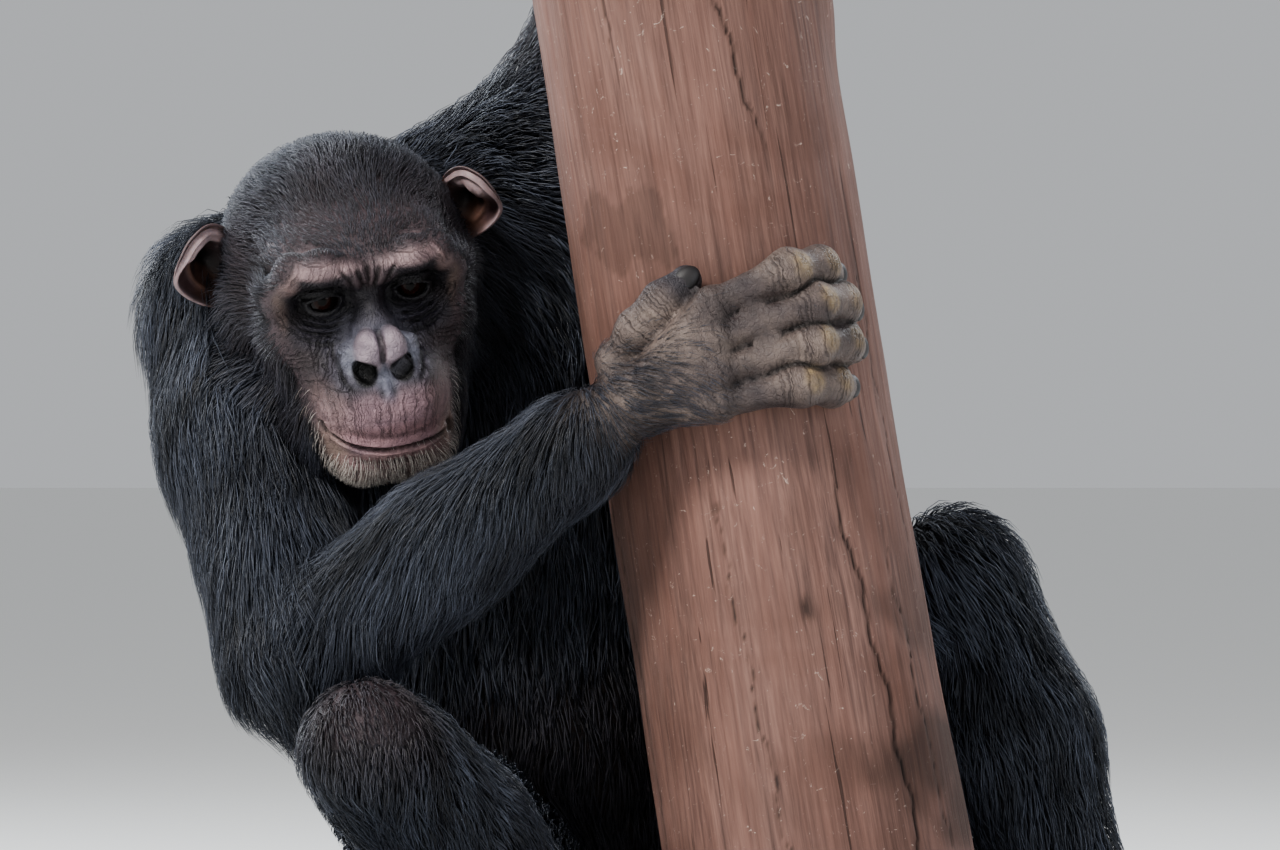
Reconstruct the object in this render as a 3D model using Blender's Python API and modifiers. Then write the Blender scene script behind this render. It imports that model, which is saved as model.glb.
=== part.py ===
"""Life-size model of a young adult chimpanzee that holds a leaning, barkless tree trunk.

The animal sits on a plain display base. One arm crosses its front to the trunk, the other is raised
behind the trunk. Metres, +Z up; the animal faces -Y, and its own right side is at -X. The body's forms
are blends of round bones and masses, each with its flesh and the depth of its coat.
"""
import math

import bmesh
import bpy
import numpy as np
from mathutils import Euler, Matrix, Vector

OBJECT = "chimpanzee"
GAP = 0.0003                 # clear space between neighbouring pieces
CUTTER_SWELL = 0.0005        # how far a cutter stands off the piece that it copies
EAR_SWELL = 0.0015           # more round the thin rim of an ear

# Display stand
BASE_WIDTH = 0.76
BASE_DEPTH = 0.62
BASE_THICK = 0.020
BASE_ROUND = 0.006
BASE_CORNER = 0.030
ROD_RADIUS = 0.012
ROD_SPREAD = 0.040

# Leaning trunk: its axis passes through TRUNK_MID and rises by one metre for each LEAN sideways
TRUNK_MID = np.array((0.0645, -0.090, 0.420))
TRUNK_LEAN = -0.1635
TRUNK_BELOW = 0.330          # length of trunk below and above TRUNK_MID
TRUNK_ABOVE = 0.585
TRUNK_RADIUS_TOP = 0.0860
TRUNK_RADIUS_MID = 0.0872
TRUNK_RADIUS_FOOT = 0.0950

# Depth of the coat
COAT_LONG = 0.018            # shoulders, back and upper arms
COAT_BODY = 0.012            # belly, forearms and legs
COAT_SHORT = 0.008           # crown, knees
COAT_FINE = 0.001            # hands, feet and face

# Joints of the skeleton
NECK_LOW = (-0.135, 0.070, 0.500)
NECK_HIGH = (-0.176, 0.005, 0.530)
SHOULDER_RIGHT = (-0.248, 0.035, 0.492)
ELBOW_RIGHT = (-0.206, -0.105, 0.280)
SHOULDER_LEFT = (-0.031, 0.100, 0.590)
ELBOW_LEFT = (0.062, 0.180, 0.815)
HIP_RIGHT = (-0.072, 0.065, 0.105)
KNEE_RIGHT = (-0.160, -0.180, 0.232)
ANKLE_RIGHT = (-0.034, -0.015, 0.085)
HIP_LEFT = (0.045, 0.120, 0.105)
KNEE_LEFT = (0.193, 0.060, 0.320)
ANKLE_LEFT = (0.277, 0.018, 0.088)
HEEL_RIGHT = (-0.034, 0.020, 0.048)
BALL_RIGHT = (-0.052, -0.135, 0.040)
HEEL_LEFT = (0.272, 0.058, 0.048)
BALL_LEFT = (0.303, -0.095, 0.040)
THIGH_RADIUS = 0.050

# Head: a frame of its own, x to the animal's left, y backward, z up, zero midway between the ears
HEAD_PLACE = (-0.182, -0.035, 0.533)
HEAD_ROLL = math.radians(-6.0)
HEAD_PITCH = math.radians(24.0)
HEAD_YAW = math.radians(10.0)
EYE_RADIUS = 0.0105
EYE_SIDE = 0.0268
EYE_FRONT = -0.0858
EAR_SIDE = 0.086
EAR_BACK = 0.010
EAR_TALL = 0.031             # half height, half width and half thickness of the ear
EAR_WIDE = 0.024
EAR_THICK = 0.0070
# Each ear: which side, height over the ears' axis, share of the full size, swing forward in degrees
EARS = (("right", -1, -0.003, 1.0, 24.0), ("left", 1, 0.004, 0.84, 34.0))

# Digits: (place along the trunk, angle round it in degrees, distance from its axis) of each joint
GRIP_RIGHT = {
    "index": ((0.0729, -5.5, 0.112), (0.0857, 17.3, 0.122), (0.0850, 29.5, 0.1115), (0.0800, 38.5, 0.1000)),
    "middle": ((0.0536, -5.1, 0.113), (0.0640, 23.4, 0.123), (0.0622, 34.9, 0.1120), (0.0580, 44.0, 0.1000)),
    "ring": ((0.0345, -5.9, 0.112), (0.0410, 21.6, 0.122), (0.0388, 33.6, 0.1115), (0.0352, 43.0, 0.1000)),
    "little": ((0.0160, -8.5, 0.109), (0.0185, 15.9, 0.118), (0.0155, 27.8, 0.1085), (0.0132, 36.0, 0.1000)),
    "thumb": ((0.0500, -39.4, 0.114), (0.0655, -30.4, 0.111), (0.0790, -21.6, 0.107), (0.0895, -13.4, 0.1005)),
}
WRIST_GRIP_RIGHT = (0.0240, -34.0, 0.118)
LEFT_GRIP_HEIGHT = 0.445     # place along the trunk of the left hand's middle
WRIST_GRIP_LEFT = (0.440, 100.0, 0.126)
WRIST_RADIUS = 0.019
FOREARM_HANG = 0.009         # how far the forearm's coat hangs below the bone
FINGER_RADIUS = 0.0108
THUMB_RADIUS = 0.0105
FINGERS = ("index", "middle", "ring", "little")

# Feet
SOLE = BASE_THICK + GAP
TOE_RADIUS = 0.0083
BIG_TOE_RADIUS = 0.0125
TOE_LENGTH = 0.052
TOE_SPACING = 0.0195
BIG_TOE_LENGTH = 0.062

# How far neighbouring bones of one form melt into each other
BLEND_TORSO = 0.045
BLEND_NECK = 0.030
BLEND_ARM = 0.030
BLEND_LEG = 0.022
BLEND_FOOT = 0.018
BLEND_HEAD = 0.014
BLEND_PALM = 0.014
BLEND_DIGIT = 0.004

# Most triangles of each form before it is cut into pieces
FACES_HEAD = 1080
FACES_NECK = 170
FACES_TORSO = 620
FACES_ARM = 290
FACES_PALM = 170
FACES_FINGER = 78
FACES_LEG = 280
FACES_FOOT = 190
FACES_TOE = 58
FACES_BIG_TOE = 74

# Linear colours of each kind of surface, with its roughness
COAT_COLOUR = ((0.012, 0.012, 0.015), 0.55)
SKIN_COLOUR = ((0.110, 0.070, 0.055), 0.60)
HAND_COLOUR = ((0.085, 0.065, 0.052), 0.60)
EYE_COLOUR = ((0.020, 0.010, 0.006), 0.08)
WOOD_COLOUR = ((0.300, 0.170, 0.115), 0.75)
STAND_COLOUR = ((0.055, 0.055, 0.060), 0.45)
ROD_COLOUR = ((0.350, 0.350, 0.360), 0.35)


# Scene, collections and materials

def clear_scene():
    for item in list(bpy.data.objects):
        bpy.data.objects.remove(item, do_unlink=True)


def new_collection(name):
    collection = bpy.data.collections.new(name)
    bpy.context.scene.collection.children.link(collection)
    return collection


def principled(name, finish, metallic=0.0):
    colour, roughness = finish
    material = bpy.data.materials.new(name)
    material.use_nodes = True
    shader = material.node_tree.nodes["Principled BSDF"]
    shader.inputs["Base Color"].default_value = (*colour, 1.0)
    shader.inputs["Roughness"].default_value = roughness
    shader.inputs["Metallic"].default_value = metallic
    return material


# Forms: a bone or a mass knows how far a point lies outside it

def length_of(vectors):
    return np.sqrt((vectors * vectors).sum(axis=1))


class Bone:
    """A round stretch of body between two joints."""

    def __init__(self, start, end, radius, end_radius=None, coat=COAT_FINE, end_coat=None):
        self.start = np.array(start, float)
        self.end = np.array(end, float)
        self.radius = radius + coat
        self.end_radius = radius if end_radius is None else end_radius
        self.end_radius += coat if end_coat is None else end_coat

    def distance(self, points):
        axis = self.end - self.start
        along = np.clip((points - self.start) @ axis / (axis @ axis), 0.0, 1.0)
        centre = self.start + along[:, None] * axis
        return length_of(points - centre) - (self.radius + (self.end_radius - self.radius) * along)

    def balls(self):
        length = np.linalg.norm(self.end - self.start)
        steps = max(2, math.ceil(length / (0.5 * min(self.radius, self.end_radius))))
        for step in range(steps + 1):
            along = step / steps
            radius = self.radius + (self.end_radius - self.radius) * along
            yield self.start + along * (self.end - self.start), np.full(3, radius), np.eye(3)


class Mass:
    """A rounded mass with three half sizes, turned by a matrix whose columns are its own axes."""

    def __init__(self, centre, sizes, turn=None, coat=COAT_FINE):
        self.centre = np.array(centre, float)
        self.sizes = np.array(sizes, float) + coat
        self.turn = np.eye(3) if turn is None else turn

    def distance(self, points):
        local = (points - self.centre) @ self.turn
        near = length_of(local / self.sizes)
        slope = np.maximum(length_of(local / self.sizes ** 2), 1e-9)
        return near * (near - 1.0) / slope

    def balls(self):
        yield self.centre, self.sizes, self.turn


def form_distance(form, blend, points):
    """Distance to the blend of all the bones and masses of a form."""
    total = form[0].distance(points)
    for item in form[1:]:
        other = item.distance(points)
        mix = np.clip(0.5 + 0.5 * (other - total) / blend, 0.0, 1.0)
        total = other * (1.0 - mix) + total * mix - blend * mix * (1.0 - mix)
    return total


def form_slope(form, blend, points):
    step = 0.0004
    slope = np.empty_like(points)
    for axis in range(3):
        offset = np.zeros(3)
        offset[axis] = step
        ahead = form_distance(form, blend, points + offset)
        slope[:, axis] = (ahead - form_distance(form, blend, points - offset)) / (2.0 * step)
    return slope


# Meshes made from forms

def read_points(mesh):
    flat = np.empty(len(mesh.vertices) * 3)
    mesh.vertices.foreach_get("co", flat)
    return flat.reshape(-1, 3)


def write_points(mesh, points):
    mesh.vertices.foreach_set("co", points.ravel())
    mesh.update()


def applied(item):
    """The object's mesh with its modifiers applied, in place of the old one."""
    graph = bpy.context.evaluated_depsgraph_get()
    mesh = bpy.data.meshes.new_from_object(item.evaluated_get(graph))
    item.modifiers.clear()
    item.data = mesh
    return mesh


def ball_cluster(form):
    """Loose overlapping balls along every bone and mass, as the start of a closed skin."""
    shape = bmesh.new()
    for item in form:
        for centre, sizes, turn in item.balls():
            place = Matrix.Translation(Vector(centre)) @ Matrix(turn.tolist()).to_4x4()
            place = place @ Matrix.Diagonal((*sizes, 1.0))
            bmesh.ops.create_uvsphere(shape, u_segments=16, v_segments=10, radius=1.0, matrix=place)
    mesh = bpy.data.meshes.new("cluster")
    shape.to_mesh(mesh)
    shape.free()
    return mesh


def shaped(name, form, blend, voxel, faces):
    """A closed mesh object on the surface of a form, with about the given number of triangles."""
    item = bpy.data.objects.new(name, ball_cluster(form))
    bpy.context.scene.collection.objects.link(item)
    remesh = item.modifiers.new("Closed skin", "REMESH")
    remesh.mode = "VOXEL"
    remesh.voxel_size = voxel
    mesh = applied(item)
    points = read_points(mesh)
    for _ in range(8):
        slope = form_slope(form, blend, points)
        size = np.maximum((slope * slope).sum(axis=1), 0.25)
        points = points - slope * (form_distance(form, blend, points) / size)[:, None]
    write_points(mesh, points)
    triangles = sum(len(polygon.vertices) - 2 for polygon in mesh.polygons)
    thin = item.modifiers.new("Fewer faces", "DECIMATE")
    thin.ratio = min(1.0, faces / triangles)
    applied(item)
    return item


def copy_of(item, name):
    double = bpy.data.objects.new(name, item.data.copy())
    bpy.context.scene.collection.objects.link(double)
    return double


def keep_side(item, point, normal, spare=0.0):
    """Cut the object flat at a plane and keep what lies behind it, closed again."""
    shape = bmesh.new()
    shape.from_mesh(item.data)
    normal = Vector(normal).normalized()
    place = Vector(point) - normal * spare
    everything = shape.verts[:] + shape.edges[:] + shape.faces[:]
    bmesh.ops.bisect_plane(shape, geom=everything, plane_co=place, plane_no=normal, clear_outer=True)
    rim = [edge for edge in shape.edges if edge.is_boundary]
    filled = bmesh.ops.holes_fill(shape, edges=rim, sides=0)["faces"]
    bmesh.ops.triangulate(shape, faces=filled)
    shape.to_mesh(item.data)
    shape.free()


def keep_largest(item):
    """Drop all but the largest closed body of the object."""
    shape = bmesh.new()
    shape.from_mesh(item.data)
    shape.verts.ensure_lookup_table()
    seen = set()
    bodies = []
    for start in shape.verts:
        if start in seen:
            continue
        body = {start}
        waiting = [start]
        while waiting:
            for edge in waiting.pop().link_edges:
                for vertex in edge.verts:
                    if vertex not in body:
                        body.add(vertex)
                        waiting.append(vertex)
        seen |= body
        bodies.append(body)
    largest = max(bodies, key=len)
    spare = [vertex for vertex in shape.verts if vertex not in largest]
    bmesh.ops.delete(shape, geom=spare, context="VERTS")
    shape.to_mesh(item.data)
    shape.free()


def swollen(item, swell=CUTTER_SWELL):
    """A cutter: a copy of the object that stands a little outside it."""
    cutter = copy_of(item, "cutter_" + item.name)
    normals = np.empty(len(cutter.data.vertices) * 3)
    cutter.data.vertices.foreach_get("normal", normals)
    points = read_points(cutter.data) + normals.reshape(-1, 3) * swell
    write_points(cutter.data, points)
    bpy.context.scene.collection.objects.unlink(cutter)
    cutters.objects.link(cutter)
    cutter.hide_render = True
    cutter.display_type = "WIRE"
    return cutter


def carve(item, *neighbours):
    """Cut the neighbours' own shapes, a little swollen, out of the object."""
    for cutter in neighbours:
        cut = item.modifiers.new("Clear of " + cutter.name, "BOOLEAN")
        cut.operation = "DIFFERENCE"
        cut.object = cutter
    applied(item)
    keep_largest(item)


def finish(item, material, smooth=True):
    """File the object among the parts, in its material."""
    item.data.materials.clear()
    item.data.materials.append(material)
    if smooth:
        item.data.shade_smooth()
        item.data.set_sharp_from_angle(angle=math.radians(50.0))
    bpy.context.scene.collection.objects.unlink(item)
    parts.objects.link(item)


def discard(item):
    bpy.data.objects.remove(item, do_unlink=True)


# Places given round the trunk

TRUNK_UP = np.array((TRUNK_LEAN, 0.0, 1.0)) / math.hypot(TRUNK_LEAN, 1.0)
TRUNK_SIDE = np.array((TRUNK_UP[2], 0.0, -TRUNK_UP[0]))
TRUNK_FRONT = np.array((0.0, -1.0, 0.0))


def on_trunk(along, degrees, radius):
    """A point at a place along the trunk, an angle from its front and a distance from its axis."""
    angle = math.radians(degrees)
    outward = TRUNK_FRONT * math.cos(angle) + TRUNK_SIDE * math.sin(angle)
    return TRUNK_MID + TRUNK_UP * along + outward * radius


def left_grip():
    """The raised hand's digits: the other hand's spans, wrapped the other way round the trunk."""
    grip = {}
    for row, finger in enumerate(FINGERS):
        along = LEFT_GRIP_HEIGHT + 0.034 - 0.0205 * row
        grip[finger] = ((along, 64.0, 0.112), (along + 0.004, 34.0, 0.120),
                        (along, 16.0, 0.111), (along - 0.003, 4.0, 0.0995))
    thumb = LEFT_GRIP_HEIGHT + 0.058
    grip["thumb"] = ((thumb - 0.016, 84.0, 0.114), (thumb, 70.0, 0.110),
                     (thumb + 0.012, 58.0, 0.105), (thumb + 0.020, 48.0, 0.0990))
    return grip


# Head

HEAD_TURN = np.array(
    Matrix.Rotation(HEAD_ROLL, 3, "Y") @ Matrix.Rotation(HEAD_PITCH, 3, "X")
    @ Matrix.Rotation(HEAD_YAW, 3, "Z")
)


def on_head(x, y, z):
    return np.array(HEAD_PLACE) + HEAD_TURN @ np.array((x, y, z))


def head_mass(centre, sizes, coat=COAT_FINE):
    return Mass(on_head(*centre), sizes, HEAD_TURN, coat)


def head_bone(start, end, radius, end_radius=None, coat=COAT_FINE):
    return Bone(on_head(*start), on_head(*end), radius, end_radius, coat)


def head_form():
    form = [
        head_mass((0.0, -0.002, 0.001), (0.066, 0.074, 0.056), COAT_SHORT),
        head_mass((0.0, -0.060, 0.020), (0.054, 0.038, 0.022)),
        head_mass((0.0, -0.052, -0.022), (0.053, 0.046, 0.044)),
        head_mass((0.0, -0.082, -0.066), (0.044, 0.050, 0.040)),
        head_bone((-0.012, -0.114, -0.055), (0.012, -0.114, -0.055), 0.021),
        head_bone((-0.017, -0.099, -0.095), (0.021, -0.099, -0.096), 0.022),
        head_bone((0.0, -0.095, -0.002), (0.0, -0.106, -0.034), 0.008, 0.015),
        head_bone((-0.024, -0.097, 0.021), (0.024, -0.097, 0.021), 0.0125),
    ]
    for side in (-1, 1):
        form += [
            head_bone((side * 0.024, -0.097, 0.021), (side * 0.050, -0.080, 0.014), 0.0125, 0.0105),
            head_bone((side * 0.050, -0.080, 0.012), (side * 0.052, -0.066, -0.020), 0.0105, 0.014),
            head_bone((side * 0.044, -0.070, -0.034), (side * 0.066, -0.015, -0.022), 0.017, 0.012),
            head_bone((side * 0.026, -0.086, -0.088), (side * 0.052, -0.012, -0.058), 0.020, 0.018,
                      COAT_BODY),
        ]
    return form


def neck_form():
    return [
        Bone(NECK_HIGH, NECK_LOW, 0.054, 0.072, COAT_BODY),
        Bone(on_head(0.0, 0.012, -0.028), (-0.120, 0.100, 0.520), 0.048, 0.060, COAT_BODY),
    ]


def ear_mesh(name, side, height, size, swing):
    """A flat dish of an ear with a thick rim and a hollow front."""
    shape = bmesh.new()
    bmesh.ops.create_uvsphere(shape, u_segments=10, v_segments=7, radius=1.0)
    for vertex in shape.verts:
        out, back, up = vertex.co
        edge = math.hypot(out, up)
        hollow = 0.8 * max(0.0, 1.0 - (edge / 0.75) ** 2) if back < 0.0 else 0.0
        narrow = 1.0 - 0.22 * max(0.0, -up)
        vertex.co = (out * EAR_WIDE * narrow, (back + hollow) * EAR_THICK, up * EAR_TALL)
    turn = Euler((math.radians(4.0), math.radians(6.0 * side), math.radians(-swing * side)))
    bmesh.ops.transform(shape, matrix=turn.to_matrix().to_4x4(), verts=shape.verts)
    place = Matrix.Translation((side * EAR_SIDE, EAR_BACK, height)) @ Matrix.Scale(size, 4)
    head = Matrix.Translation(HEAD_PLACE) @ Matrix(HEAD_TURN.tolist()).to_4x4()
    bmesh.ops.transform(shape, matrix=head @ place, verts=shape.verts)
    mesh = bpy.data.meshes.new(name)
    shape.to_mesh(mesh)
    shape.free()
    return mesh


def build_head(torso, arm_right):
    form = head_form()
    head = shaped("head", form, BLEND_HEAD, 0.0045, FACES_HEAD)
    neck = shaped("neck", neck_form(), BLEND_NECK, 0.008, FACES_NECK)
    for name, side in (("right", -1), ("left", 1)):
        eye = bpy.data.objects.new("eye_" + name, bpy.data.meshes.new("eye_" + name))
        bpy.context.scene.collection.objects.link(eye)
        ball = bmesh.new()
        centre = Matrix.Translation(Vector(on_head(side * EYE_SIDE, EYE_FRONT, 0.0)))
        bmesh.ops.create_uvsphere(ball, u_segments=10, v_segments=6, radius=EYE_RADIUS,
                                  matrix=centre)
        ball.to_mesh(eye.data)
        ball.free()
        carve(head, swollen(eye))
        finish(eye, EYE)
    carve(head, torso, arm_right)
    head_cutter = swollen(head)
    ears = []
    for name, *shape in EARS:
        ear = bpy.data.objects.new("ear_" + name, ear_mesh("ear_" + name, *shape))
        bpy.context.scene.collection.objects.link(ear)
        carve(ear, head_cutter, arm_right, torso)
        ears.append(swollen(ear, EAR_SWELL))
        finish(ear, SKIN)
    carve(neck, torso, head_cutter, arm_right, *ears)
    finish(head, COAT)
    finish(neck, COAT)


# Torso

def torso_form():
    return [
        Mass((-0.120, 0.098, 0.455), (0.128, 0.088, 0.105), coat=COAT_LONG),
        Mass((-0.095, 0.112, 0.370), (0.128, 0.100, 0.125), coat=COAT_BODY),
        Mass((-0.058, 0.125, 0.225), (0.122, 0.102, 0.115), coat=COAT_BODY),
        Mass((-0.022, 0.132, 0.112), (0.118, 0.098, 0.090), coat=COAT_BODY),
        Bone((-0.132, 0.118, 0.528), (-0.045, 0.112, 0.580), 0.064, 0.066, COAT_LONG),
        Bone((-0.190, 0.080, 0.490), SHOULDER_RIGHT, 0.052, 0.036, COAT_LONG),
    ]


def build_torso(trunk_cutter):
    body = shaped("torso", torso_form(), BLEND_TORSO, 0.010, FACES_TORSO)
    keep_side(body, (0.0, 0.0, SOLE), (0.0, 0.0, -1.0))
    carve(body, trunk_cutter)
    cutter = swollen(body)
    spine = (-0.15, 0.0, 1.0)
    waist = ((-0.035, 0.13, 0.165), spine)
    ribs = ((-0.080, 0.12, 0.310), spine)
    bounds = (("pelvis", None, waist), ("belly", waist, ribs), ("chest", ribs, None))
    for name, low, high in bounds:
        piece = copy_of(body, name)
        if high:
            keep_side(piece, high[0], high[1], GAP)
        if low:
            keep_side(piece, low[0], tuple(-value for value in low[1]))
        finish(piece, COAT)
    discard(body)
    return cutter


# Limbs

def between(first, middle, last):
    """The plane that halves the bend at a joint, facing on along the limb."""
    first, middle, last = (Vector(point) for point in (first, middle, last))
    forward = (middle - first).normalized() + (last - middle).normalized()
    return tuple(middle), tuple(forward.normalized())


def along(start, end, share, drop=0.0):
    """The point at a share of the way between two others, lowered by a drop."""
    return tuple(Vector(start).lerp(Vector(end), share) - Vector((0.0, 0.0, drop)))


def palm_form(wrist, grip):
    """The hand without its digits: a bundle of bones from the wrist to each knuckle."""
    form = []
    for finger in FINGERS:
        form.append(Bone(wrist, on_trunk(*grip[finger][0]), 0.0145, 0.0125))
    form.append(Bone(wrist, on_trunk(*grip["thumb"][0]), 0.0145, 0.0125))
    return form


def build_digits(side, grip, palm, trunk_cutter):
    """Four fingers and a thumb, each clear of the palm, the trunk and the digit before it."""
    before = []
    for digit, joints in grip.items():
        radius = THUMB_RADIUS if digit == "thumb" else FINGER_RADIUS
        points = [on_trunk(*joint) for joint in joints]
        form = [
            Bone(points[0], points[1], radius * 0.95, radius),
            Bone(points[1], points[2], radius, radius * 0.95),
            Bone(points[2], points[3], radius * 0.95, radius * 0.82),
        ]
        name = digit + ("_" if digit == "thumb" else "_finger_") + side
        item = shaped(name, form, BLEND_DIGIT, 0.0028, FACES_FINGER)
        carve(item, trunk_cutter, palm, *before)
        before = [] if digit == "little" else [swollen(item)]
        finish(item, HAND)


def build_arm(side, shoulder, elbow, wrist, grip, clear_of, trunk_cutter, flesh):
    """Upper arm, forearm and hand of one side; the forearm's coat hangs a little below the bone."""
    biceps = along(shoulder, elbow, 0.35)
    low_elbow = along(elbow, wrist, 0.0, FOREARM_HANG)
    muscle = along(elbow, wrist, 0.45, FOREARM_HANG)
    cuff = along(elbow, wrist, 0.85, FOREARM_HANG)
    form = [
        Bone(shoulder, biceps, flesh[0], flesh[0] + 0.004, COAT_LONG),
        Bone(biceps, elbow, flesh[0] + 0.004, flesh[1], COAT_LONG, COAT_BODY),
        Bone(low_elbow, muscle, flesh[1], flesh[2], COAT_BODY),
        Bone(muscle, cuff, flesh[2], 0.028, COAT_BODY),
        Bone(cuff, wrist, 0.028, WRIST_RADIUS, COAT_BODY, COAT_SHORT),
    ]
    arm = shaped("arm_" + side, form, BLEND_ARM, 0.007, FACES_ARM)
    palm = shaped("hand_" + side, palm_form(wrist, grip), BLEND_PALM, 0.004, FACES_PALM)
    arm_end = Vector(wrist).lerp(Vector(elbow), 0.04)
    forward = (Vector(wrist) - Vector(elbow)).normalized()
    elbow_plane = between(shoulder, elbow, wrist)
    upper = copy_of(arm, "upper_arm_" + side)
    keep_side(upper, *elbow_plane, GAP)
    fore = copy_of(arm, "forearm_" + side)
    keep_side(fore, elbow_plane[0], tuple(-value for value in elbow_plane[1]))
    keep_side(fore, arm_end, forward, GAP)
    keep_side(palm, arm_end, -forward)
    carve(upper, *clear_of, trunk_cutter)
    carve(fore, *clear_of, trunk_cutter)
    carve(palm, trunk_cutter)
    build_digits(side, grip, swollen(palm), trunk_cutter)
    cutter = swollen(arm)
    discard(arm)
    finish(upper, COAT)
    finish(fore, COAT)
    finish(palm, HAND)
    return cutter


def foot_form(ankle, heel, ball, big_toe_root):
    instep = along(ankle, ball, 0.45)
    across = Vector((0.017, 0.0, 0.0))
    return [
        Bone(ankle, heel, 0.030, 0.026, COAT_FINE),
        Bone(ankle, instep, 0.028, 0.022, COAT_FINE),
        Bone(heel, tuple(Vector(ball) - across), 0.024, 0.016, COAT_FINE),
        Bone(heel, tuple(Vector(ball) + across), 0.024, 0.016, COAT_FINE),
        Bone(heel, big_toe_root, 0.024, 0.017, COAT_FINE),
    ]


def build_leg(side, joints, heel, ball, toward_thumb, bulk, clear_of, trunk_cutter):
    """Thigh, shin, foot and toes of one side; toward_thumb is the sideways sense of the big toe."""
    hip, knee, ankle = joints
    knee_radius, calf_radius = bulk
    thigh_middle = along(hip, knee, 0.5)
    calf = along(knee, ankle, 0.4)
    form = [
        Bone(hip, thigh_middle, 0.066, THIGH_RADIUS, COAT_BODY),
        Bone(thigh_middle, knee, THIGH_RADIUS, knee_radius, COAT_BODY, COAT_SHORT),
        Bone(knee, calf, knee_radius, calf_radius, COAT_SHORT, COAT_BODY),
        Bone(calf, ankle, calf_radius, 0.024, COAT_BODY, COAT_FINE),
    ]
    big_toe_root = (ball[0] + toward_thumb * 0.030, ball[1] + 0.055, ball[2])
    leg = shaped("leg_" + side, form, BLEND_LEG, 0.008, FACES_LEG)
    sole_bones = foot_form(ankle, heel, ball, big_toe_root)
    foot = shaped("foot_" + side, sole_bones, BLEND_FOOT, 0.005, FACES_FOOT)
    keep_side(foot, (0.0, 0.0, SOLE), (0.0, 0.0, -1.0))
    knee_plane = between(hip, knee, ankle)
    thigh = copy_of(leg, "thigh_" + side)
    shin = copy_of(leg, "shin_" + side)
    ankle_level = (0.0, 0.0, ankle[2] - 0.004)
    keep_side(thigh, knee_plane[0], knee_plane[1], GAP)
    keep_side(shin, knee_plane[0], tuple(-value for value in knee_plane[1]))
    keep_side(shin, ankle_level, (0.0, 0.0, -1.0), GAP)
    keep_side(foot, ankle_level, (0.0, 0.0, 1.0))
    carve(thigh, *clear_of, trunk_cutter)
    carve(shin, swollen(thigh), *clear_of, trunk_cutter)
    carve(foot, *clear_of, trunk_cutter)
    foot_cutter = swollen(foot)
    before = []
    for number in range(4):
        spread = (number - 1.5) * TOE_SPACING
        root = Vector((ball[0] + spread, ball[1] + abs(spread) * 0.2, SOLE + TOE_RADIUS + 0.004))
        heading = Vector((spread * 0.35 - toward_thumb * 0.004, -1.0 * TOE_LENGTH, 0.0))
        rise = Vector((0.0, 0.0, 0.006))
        middle = root + heading * 0.5 + rise
        tip = root + heading - Vector((0.0, 0.0, 0.004))
        form = [
            Bone(tuple(root), tuple(middle), TOE_RADIUS),
            Bone(tuple(middle), tuple(tip), TOE_RADIUS, 0.0075),
        ]
        toe = shaped(f"toe_{number + 1}_{side}", form, BLEND_DIGIT, 0.0028, FACES_TOE)
        keep_side(toe, (0.0, 0.0, SOLE), (0.0, 0.0, -1.0))
        carve(toe, foot_cutter, *before)
        before = [swollen(toe)]
        finish(toe, HAND)
    root = Vector((big_toe_root[0], big_toe_root[1], SOLE + BIG_TOE_RADIUS + 0.001))
    tip = root + Vector((toward_thumb * 0.6, -0.8, 0.0)) * BIG_TOE_LENGTH
    form = [Bone(tuple(root), tuple(tip), BIG_TOE_RADIUS, 0.011)]
    big_toe = shaped("big_toe_" + side, form, BLEND_DIGIT, 0.003, FACES_BIG_TOE)
    keep_side(big_toe, (0.0, 0.0, SOLE), (0.0, 0.0, -1.0))
    carve(big_toe, foot_cutter, trunk_cutter)
    finish(big_toe, HAND)
    cutter = swollen(leg)
    discard(leg)
    for piece, material in ((thigh, COAT), (shin, COAT), (foot, HAND)):
        finish(piece, material)
    return cutter


# Trunk and stand

def build_trunk():
    """The cut length of trunk, a cone in two lengths with slightly rounded ends."""
    shape = bmesh.new()
    length = TRUNK_BELOW + TRUNK_ABOVE
    bmesh.ops.create_cone(shape, cap_ends=True, segments=36, radius1=TRUNK_RADIUS_MID,
                          radius2=TRUNK_RADIUS_MID, depth=length)
    around = [edge for edge in shape.edges if abs(edge.verts[0].co.z - edge.verts[1].co.z) > 0.5 * length]
    bmesh.ops.subdivide_edges(shape, edges=around, cuts=2)
    for vertex in shape.verts:
        height = vertex.co.z + 0.5 * length - TRUNK_BELOW
        if height > 0.0:
            radius = TRUNK_RADIUS_MID + (TRUNK_RADIUS_TOP - TRUNK_RADIUS_MID) * height / TRUNK_ABOVE
        else:
            radius = TRUNK_RADIUS_MID + (TRUNK_RADIUS_FOOT - TRUNK_RADIUS_MID) * -height / TRUNK_BELOW
        vertex.co.x *= radius / TRUNK_RADIUS_MID
        vertex.co.y *= radius / TRUNK_RADIUS_MID
    turn = Vector((0.0, 0.0, 1.0)).rotation_difference(Vector(TRUNK_UP)).to_matrix().to_4x4()
    middle = TRUNK_MID + TRUNK_UP * (TRUNK_ABOVE - TRUNK_BELOW) * 0.5
    bmesh.ops.transform(shape, matrix=Matrix.Translation(Vector(middle)) @ turn, verts=shape.verts)
    mesh = bpy.data.meshes.new("perch_trunk")
    shape.to_mesh(mesh)
    shape.free()
    trunk = bpy.data.objects.new("perch_trunk", mesh)
    bpy.context.scene.collection.objects.link(trunk)
    cutter = swollen(trunk)
    for number in range(2):
        build_rod(number, cutter)
    finish(trunk, WOOD)
    return cutter


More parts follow.
